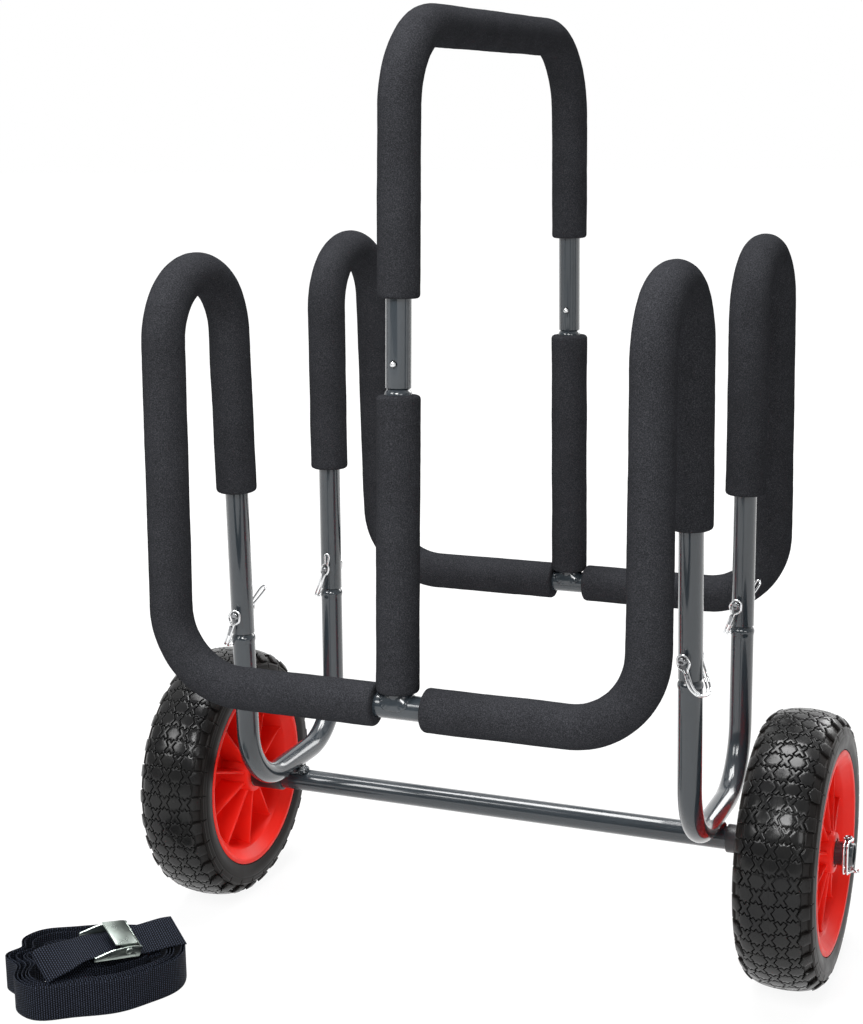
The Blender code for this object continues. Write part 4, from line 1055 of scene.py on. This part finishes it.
def lock_pin(name, centre, along, body, node):
    """A pin: its dished head with the groove that the wire's eye sits in, its shank and its rounded tip."""
    crown = ((0.0004, 0.0), (0.0003, 0.0022), (0.0, 0.0030), (0.0002, 0.0036), (0.0009, PIN_HEAD_R))
    groove = ((-0.0014, PIN_HEAD_R), (-0.0011, PIN_R), (0.0011, PIN_R), (0.0014, PIN_HEAD_R),
              (0.0027, PIN_HEAD_R), (0.0030, PIN_R + 0.0006), (0.0032, PIN_R))
    tip = ((0.0022, PIN_R), (0.0012, PIN_R - 0.0004), (0.0004, PIN_R - 0.0014), (0.0, 0.0))
    profile = [(-PIN_HALF + a, r) for a, r in crown] + [(-EYE_S + a, r) for a, r in groove]
    profile += [(PIN_HALF - a, r) for a, r in tip]
    lathe(name, profile, centre, along, STEEL, body, (node,), 32, False)


def bent_finger(splay, longer):
    """The leg bails' finger loop as (along, away, across): bent off the tube, and leaning to one side."""
    loop = []
    for away, across in FINGER_ON:
        away -= longer * max(0.0, (-away - 0.0120) / 0.0112)
        past = max(0.0, -away - FINGER_ROOT)
        loop.append((EYE_S + past * math.sin(FINGER_BEND), away + past * (1 - math.cos(FINGER_BEND)),
                     across - past * splay))
    return loop


def bail(name, centre, along, away, across, eye, bridge, finger, body, node):
    """A loop of wire: an eye round the head, a bridge under the leg, an eye on the tip, a finger loop."""

    def spot(s, u, g):
        return Vector(centre) + along * s + away * u + across * g

    sides = []
    for sign in (1, -1):
        strand = [spot(-EYE_S, u, sign * g) for u, g in eye]
        strand += [spot(s, u, a + sign * STRAND_HALF) for s, u, a in bridge]
        strand += [spot(EYE_S, u, sign * g) for u, g in TIP_EYE]
        sides.append(strand)
    loop = sides[0] + [spot(*point) for point in finger] + sides[1][:0:-1]
    wire_loop(name, smooth_line(loop, 6, closed=True), 12, CHROME, body, (node,))


def ferrule(name, start, end, across, body, node):
    """A flat sleeve crimped round both strands: two dents from the crimping tool, rolled edges."""
    axis = (end - start).normalized()
    depth = axis.cross(across).normalized()
    rows, sides = 25, 32
    verts = []
    for i in range(rows):
        t = i / (rows - 1)
        lip = 1 - 0.10 * max(0.0, 1 - min(t, 1 - t) / 0.06) ** 2
        dent = math.exp(-((t - 0.33) / 0.07) ** 2) + math.exp(-((t - 0.67) / 0.07) ** 2)
        for k in range(sides):
            turn = 2 * math.pi * k / sides
            c, s = math.cos(turn), math.sin(turn)
            wide = (abs(c) ** 4 + abs(s) ** 4) ** -0.25
            x = c * wide * FERRULE[0] / 2 * (1 + 0.06 * dent) * lip
            groove = 1 - 0.12 * math.exp(-(c * wide / 0.30) ** 2)
            z = s * wide * FERRULE[2] / 2 * (1 - 0.05 * dent) * groove * lip
            verts.append(start.lerp(end, t) + across.normalized() * x + depth * z)
    piece(name, verts, capped_faces(rows, sides), STEEL, body, (node,), angle=50)


def pins():
    for name, (x, facing, head, wrap, turn, splay, longer) in PIN_SPOTS.items():
        spin = Matrix.Rotation(-turn, 3, "Z")
        centre = Vector((x, facing * leg_y(PIN_Z), PIN_Z))
        along = spin @ Vector((0.0, -head, 0.0))
        side = spin @ Vector((wrap, 0.0, 0.0))
        down = Vector((0.0, 0.0, -1.0))
        away = (down * math.cos(BAIL_LEAN) + side * math.sin(BAIL_LEAN)).normalized()
        across = (side * math.cos(BAIL_LEAN) - down * math.sin(BAIL_LEAN)).normalized()
        bridge = [(-EYE_S, 0.0270, 0.0), (-0.0135, 0.0362, 0.0018), (-0.0065, 0.0410, 0.0036),
                  (0.0065, 0.0410, 0.0036), (0.0135, 0.0355, 0.0018), (EYE_S, 0.0240, 0.0)]
        body = name + "_lock"
        lock_pin(name + "_pin", centre, along, body, name + "_lock_pin")
        bail(name + "_bail", centre, along, away, across, LEG_EYE, bridge, bent_finger(splay, longer), body,
             name + "_pin_bail")
        start, end = (centre - along * EYE_S + away * u for u in (FERRULE_START, FERRULE_START + FERRULE[1]))
        ferrule(name + "_ferrule", start, end, across, body, name + "_bail_ferrule")
    for side, name in ((-1, "left"), (1, "right")):
        centre = Vector((side * AXLE_PIN_X, 0.0, WHEEL_R))
        along, away, across = Vector((0, 0, -1)), Vector((0, -1, 0)), Vector((side, 0, 0))
        bridge = [(-EYE_S + 0.0010, 0.0135, 0.0), (-0.0118, 0.0166, 0.0), (0.0118, 0.0166, 0.0),
                  (EYE_S - 0.0010, 0.0135, 0.0)]
        body = name + "_axle_lock"
        lock_pin(name + "_axle_lock_pin", centre, along, body, name + "_axle_pin")
        finger = [(EYE_S, u, g) for u, g in FINGER_ACROSS]
        bail(name + "_axle_bail", centre, along, away, across, AXLE_EYE, bridge, finger, body,
             name + "_axle_pin_bail")
        middle = centre + away * 0.0166
        half = along * FERRULE[1] / 2
        ferrule(name + "_axle_ferrule", middle - half, middle + half, across, body,
                name + "_axle_bail_ferrule")


# Strap

def band(name, line, across, body, node):
    """Webbing along a line: ribs over its whole width, and rounded selvedges."""
    line = Line(line)
    count = int(line.length / (RIB / 4))
    d = np.linspace(0, line.length, count)
    spots = line.spots(d)
    way = directions(line.spots(d + 0.001) - line.spots(d - 0.001))
    given = np.array([tuple(a) for a in across])
    share, at = np.linspace(0, 1, count), np.linspace(0, 1, len(given))
    wide = directions(np.stack([np.interp(share, at, given[:, i]) for i in range(3)], 1))
    up = directions(np.cross(way, wide))
    half_t = WEB_T / 2 - RIB_HEIGHT
    section = [(-0.5, 0.0), (-0.494, 0.62), (-0.478, 0.95)] + [(x, 1.0) for x in np.linspace(-0.42, 0.42, 8)]
    section += [(0.478, 0.95), (0.494, 0.62)]
    section = section + [(-x, -t) for x, t in section]
    columns = len(section)
    wave = 0.5 + 0.5 * np.sin(2 * math.pi * d / RIB)
    verts = np.zeros((count, columns, 3))
    uvs = np.zeros((count, columns, 2))
    for j, (x, t) in enumerate(section):
        thick = t * (half_t + RIB_HEIGHT * wave * (1.0 if abs(x) < 0.48 else 0.6))
        verts[:, j] = spots + wide * (x * WEB_W) + up * thick[:, None]
        uvs[:, j, 0] = d
        uvs[:, j, 1] = x * WEB_W + (0.1 if t < 0 else 0.0)
    obj = piece(name, verts.reshape(-1, 3), capped_faces(count, columns), WEBBING, body, (node,), angle=60,
                uvs=uvs.reshape(-1, 2))
    return obj


def bulge(angle, at, spread):
    """How near an angle is to a place on the hank, in degrees: 1 there, and fading out over the spread."""
    off = (angle - at + 180) % 360 - 180
    return math.exp(-((off / spread) ** 2))


def smooth_step(value):
    share = min(1.0, max(0.0, value))
    return share * share * (3 - 2 * share)


def hank_point(turns):
    """The middle of the webbing so many turns in from the hank's outer end."""
    angle = 2 * math.pi * turns + HANK_START
    a, b = HANK_HALF
    radius = abs(math.cos(angle) / a) ** HANK_SQUARE + abs(math.sin(angle) / b) ** HANK_SQUARE
    radius **= -1 / HANK_SQUARE
    for at, spread, depth in HANK_DENTS:
        radius *= 1 + depth * bulge(math.degrees(angle), at, spread)
    at, spread, depth = HANK_SQUEEZE
    first, easing = HANK_SQUEEZE_TURNS
    _, inner_easing, inner_depth = HANK_INNER
    radius -= HANK_PITCH * turns
    radius -= smooth_step((turns - first) / easing) * depth * bulge(math.degrees(angle), at, spread)
    radius -= smooth_step((turns - HANK_TURNS) / inner_easing) * inner_depth
    angle += HANK_TURN
    return Vector((HANK_CENTRE[0] + radius * math.cos(angle), HANK_CENTRE[1] + radius * math.sin(angle),
                   WEB_W / 2 + 0.0003))


def buckle_frame():
    """The buckle's place and lie on top of the hank."""
    tilt, pitch, turn = BUCKLE_TURN
    lie = Matrix.Rotation(turn, 4, "Z") @ Matrix.Rotation(pitch, 4, "Y") @ Matrix.Rotation(tilt, 4, "X")
    return Matrix.Translation(BUCKLE_CENTRE) @ lie


LAP_BEFORE = (
    ((-0.2875, -0.2327, 0.0500), (0.713, -0.326, -0.616)),
    ((-0.2955, -0.2435, 0.0512), (0.70, -0.40, -0.58)),
    ((-0.3053, -0.2554, 0.0505), (0.69, -0.45, -0.53)),
    ((-0.3140, -0.2690, 0.0508), (0.70, -0.44, -0.50)),
)
LAP_AFTER = (
    ((-0.3502, -0.3247, 0.0590), (0.738, -0.348, -0.560)),
    ((-0.3604, -0.3504, 0.0585), (0.67, -0.206, -0.711)),
    ((-0.3700, -0.3666, 0.0565), (0.649, -0.178, -0.737)),
    ((-0.3731, -0.3722, 0.0530), (0.649, -0.178, -0.72)),
    ((-0.3716, -0.3702, 0.0482), (0.649, -0.178, -0.70)),
    ((-0.3630, -0.3540, 0.0450), (0.67, -0.206, -0.66)),
    ((-0.3500, -0.3250, 0.0440), (0.69, -0.25, -0.60)),
    ((-0.3250, -0.2850, 0.0430), (0.70, -0.35, -0.55)),
    ((-0.3060, -0.2540, 0.0425), (0.70, -0.40, -0.45)),
)


def strap():
    """The hank, and the lap: each of its stations gives a middle point and the way across the webbing."""
    steps = 160
    spots = [hank_point(k / steps) for k in range(round((HANK_TURNS + HANK_INNER[0]) * steps) + 1)]
    band("webbing_hank", spots, [(0.0, 0.0, 1.0)] * 2, "strap", "strap_hank")
    place = buckle_frame()
    through = place.to_3x3() @ Vector((0.0, -1.0, 0.0))
    inside_buckle = [(place @ Vector((x, 0.0, 0.0009)), through) for x in (0.018, 0.0, -0.018)]
    middles, ways = zip(*LAP_BEFORE, *inside_buckle, *LAP_AFTER)
    band("webbing_lap", smooth_line(middles, 12), smooth_line(ways, 12), "strap", "strap_lap")
    for node, body in (("buckle_body", "strap"), ("cam_lever", "cam"), ("cam_pin", "cam")):
        pressed(node, body)


def pressed(node, body):
    """A pressed or turned metal part: the solid's own shape with every sharp edge rounded off."""
    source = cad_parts[node]
    bm = bmesh.new()
    bm.from_mesh(source.data)
    bm.transform(source.matrix_world)
    bmesh.ops.remove_doubles(bm, verts=bm.verts, dist=1e-7)
    bmesh.ops.dissolve_limit(bm, angle_limit=math.radians(1), verts=bm.verts, edges=bm.edges)
    sharp = [e for e in bm.edges if len(e.link_faces) == 2 and e.calc_face_angle() > math.radians(40)]
    bmesh.ops.bevel(bm, geom=sharp, offset=PRESSED_EDGE, segments=2, profile=0.5, affect="EDGES",
                    clamp_overlap=True)
    bmesh.ops.triangulate(bm, faces=bm.faces)
    bm.verts.index_update()
    verts, faces = [v.co.copy() for v in bm.verts], [tuple(v.index for v in f.verts) for f in bm.faces]
    bm.free()
    piece(node + "_metal", verts, faces, ZINC, body, (node,), angle=50)


# Studio

FLOOR_HALF = 30.0
FLOOR_COLOUR = 0.60
FLOOR_WHITE_SHARE = 0.80
FLOOR_WHITE = ((0.7, 1.14), (2.5, 1.30))
ROOM_GLOSS = ((-0.6, 0.15), (0.80, 1.0))
ROOM_LEAST = 0.02
LAMP_AIM = (0.0, 0.0, 0.45)
LAMPS = {
    "top": ((-0.6, 0.4, 5.4), 3.0, 390),
    "key": ((-2.7, -3.6, 3.4), 1.7, 98),
    "near": ((0.28, -2.05, 1.95), 0.8, 38),
    "fill": ((3.5, -3.5, 2.5), 1.7, 44),
    "back": ((1.6, 4.6, 2.6), 2.4, 90),
}


def floor():
    """A floor that the camera, gloss and glass see as white, but that lights the object as a grey one."""
    white = bpy.data.materials.new("studio_white")
    white.use_nodes = True
    tree = white.node_tree
    tree.nodes.clear()
    path = add(white, "LightPath").outputs
    seen = maths(white, "ADD", path["Is Camera Ray"], path["Is Glossy Ray"])
    seen = maths(white, "ADD", seen, path["Is Transmission Ray"], clamp=True)
    share = maths(white, "MULTIPLY", seen, FLOOR_WHITE_SHARE)
    lit = add(white, "BsdfDiffuse", Color=(FLOOR_COLOUR, FLOOR_COLOUR, FLOOR_COLOUR, 1.0)).outputs[0]
    spot = add(white, "TexCoord").outputs["Object"]
    reach = add(white, "VectorMath", {"operation": "LENGTH"}, _0=spot).outputs["Value"]
    (near, near_level), (far, far_level) = FLOOR_WHITE
    level = span(white, reach, near, far, near_level, far_level)
    glow = add(white, "Emission", Color=(1.0, 1.0, 1.0, 1.0), Strength=level).outputs[0]
    both = add(white, "MixShader", _0=share, _1=lit, _2=glow).outputs[0]
    add(white, "OutputMaterial", Surface=both)
    mesh = bpy.data.meshes.new("floor")
    corners = [(x * FLOOR_HALF, y * FLOOR_HALF, 0) for x, y in ((-1, -1), (1, -1), (1, 1), (-1, 1))]
    mesh.from_pydata(corners, [], [(0, 1, 2, 3)])
    obj = bpy.data.objects.new("floor", mesh)
    bpy.context.scene.collection.objects.link(obj)
    mesh.materials.append(white)


def room():
    """A world that the camera sees as white, and that gloss sees as darker towards the front."""
    world = bpy.data.worlds.new("studio")
    bpy.context.scene.world = world
    world.use_nodes = True
    world.node_tree.nodes.clear()
    path = add(world, "LightPath").outputs
    way = add(world, "SeparateXYZ", Vector=add(world, "TexCoord").outputs["Generated"]).outputs["Y"]
    (front, front_level), (rear, rear_level) = ROOM_GLOSS
    gloss = span(world, way, front, rear, front_level, rear_level)
    seen = maths(world, "ADD", path["Is Glossy Ray"], path["Is Transmission Ray"])
    seen = maths(world, "MULTIPLY_ADD", seen, gloss, path["Is Camera Ray"])
    level = maths(world, "MAXIMUM", seen, ROOM_LEAST)
    back = add(world, "Background", Color=(1.0, 1.0, 1.0, 1.0), Strength=level).outputs[0]
    add(world, "OutputWorld", Surface=back)


def lamps():
    for name, (place, size, power) in LAMPS.items():
        data = bpy.data.lights.new(name, "AREA")
        data.shape = "RECTANGLE"
        data.size = data.size_y = size
        data.energy = power
        obj = bpy.data.objects.new(name, data)
        bpy.context.scene.collection.objects.link(obj)
        obj.location = place
        obj.rotation_euler = (Vector(LAMP_AIM) - Vector(place)).to_track_quat("-Z", "Y").to_euler()


cradles()
brackets()
posts()
handle()
axle()
tyres()
rims()
pins()
strap()
floor()
room()
lamps()
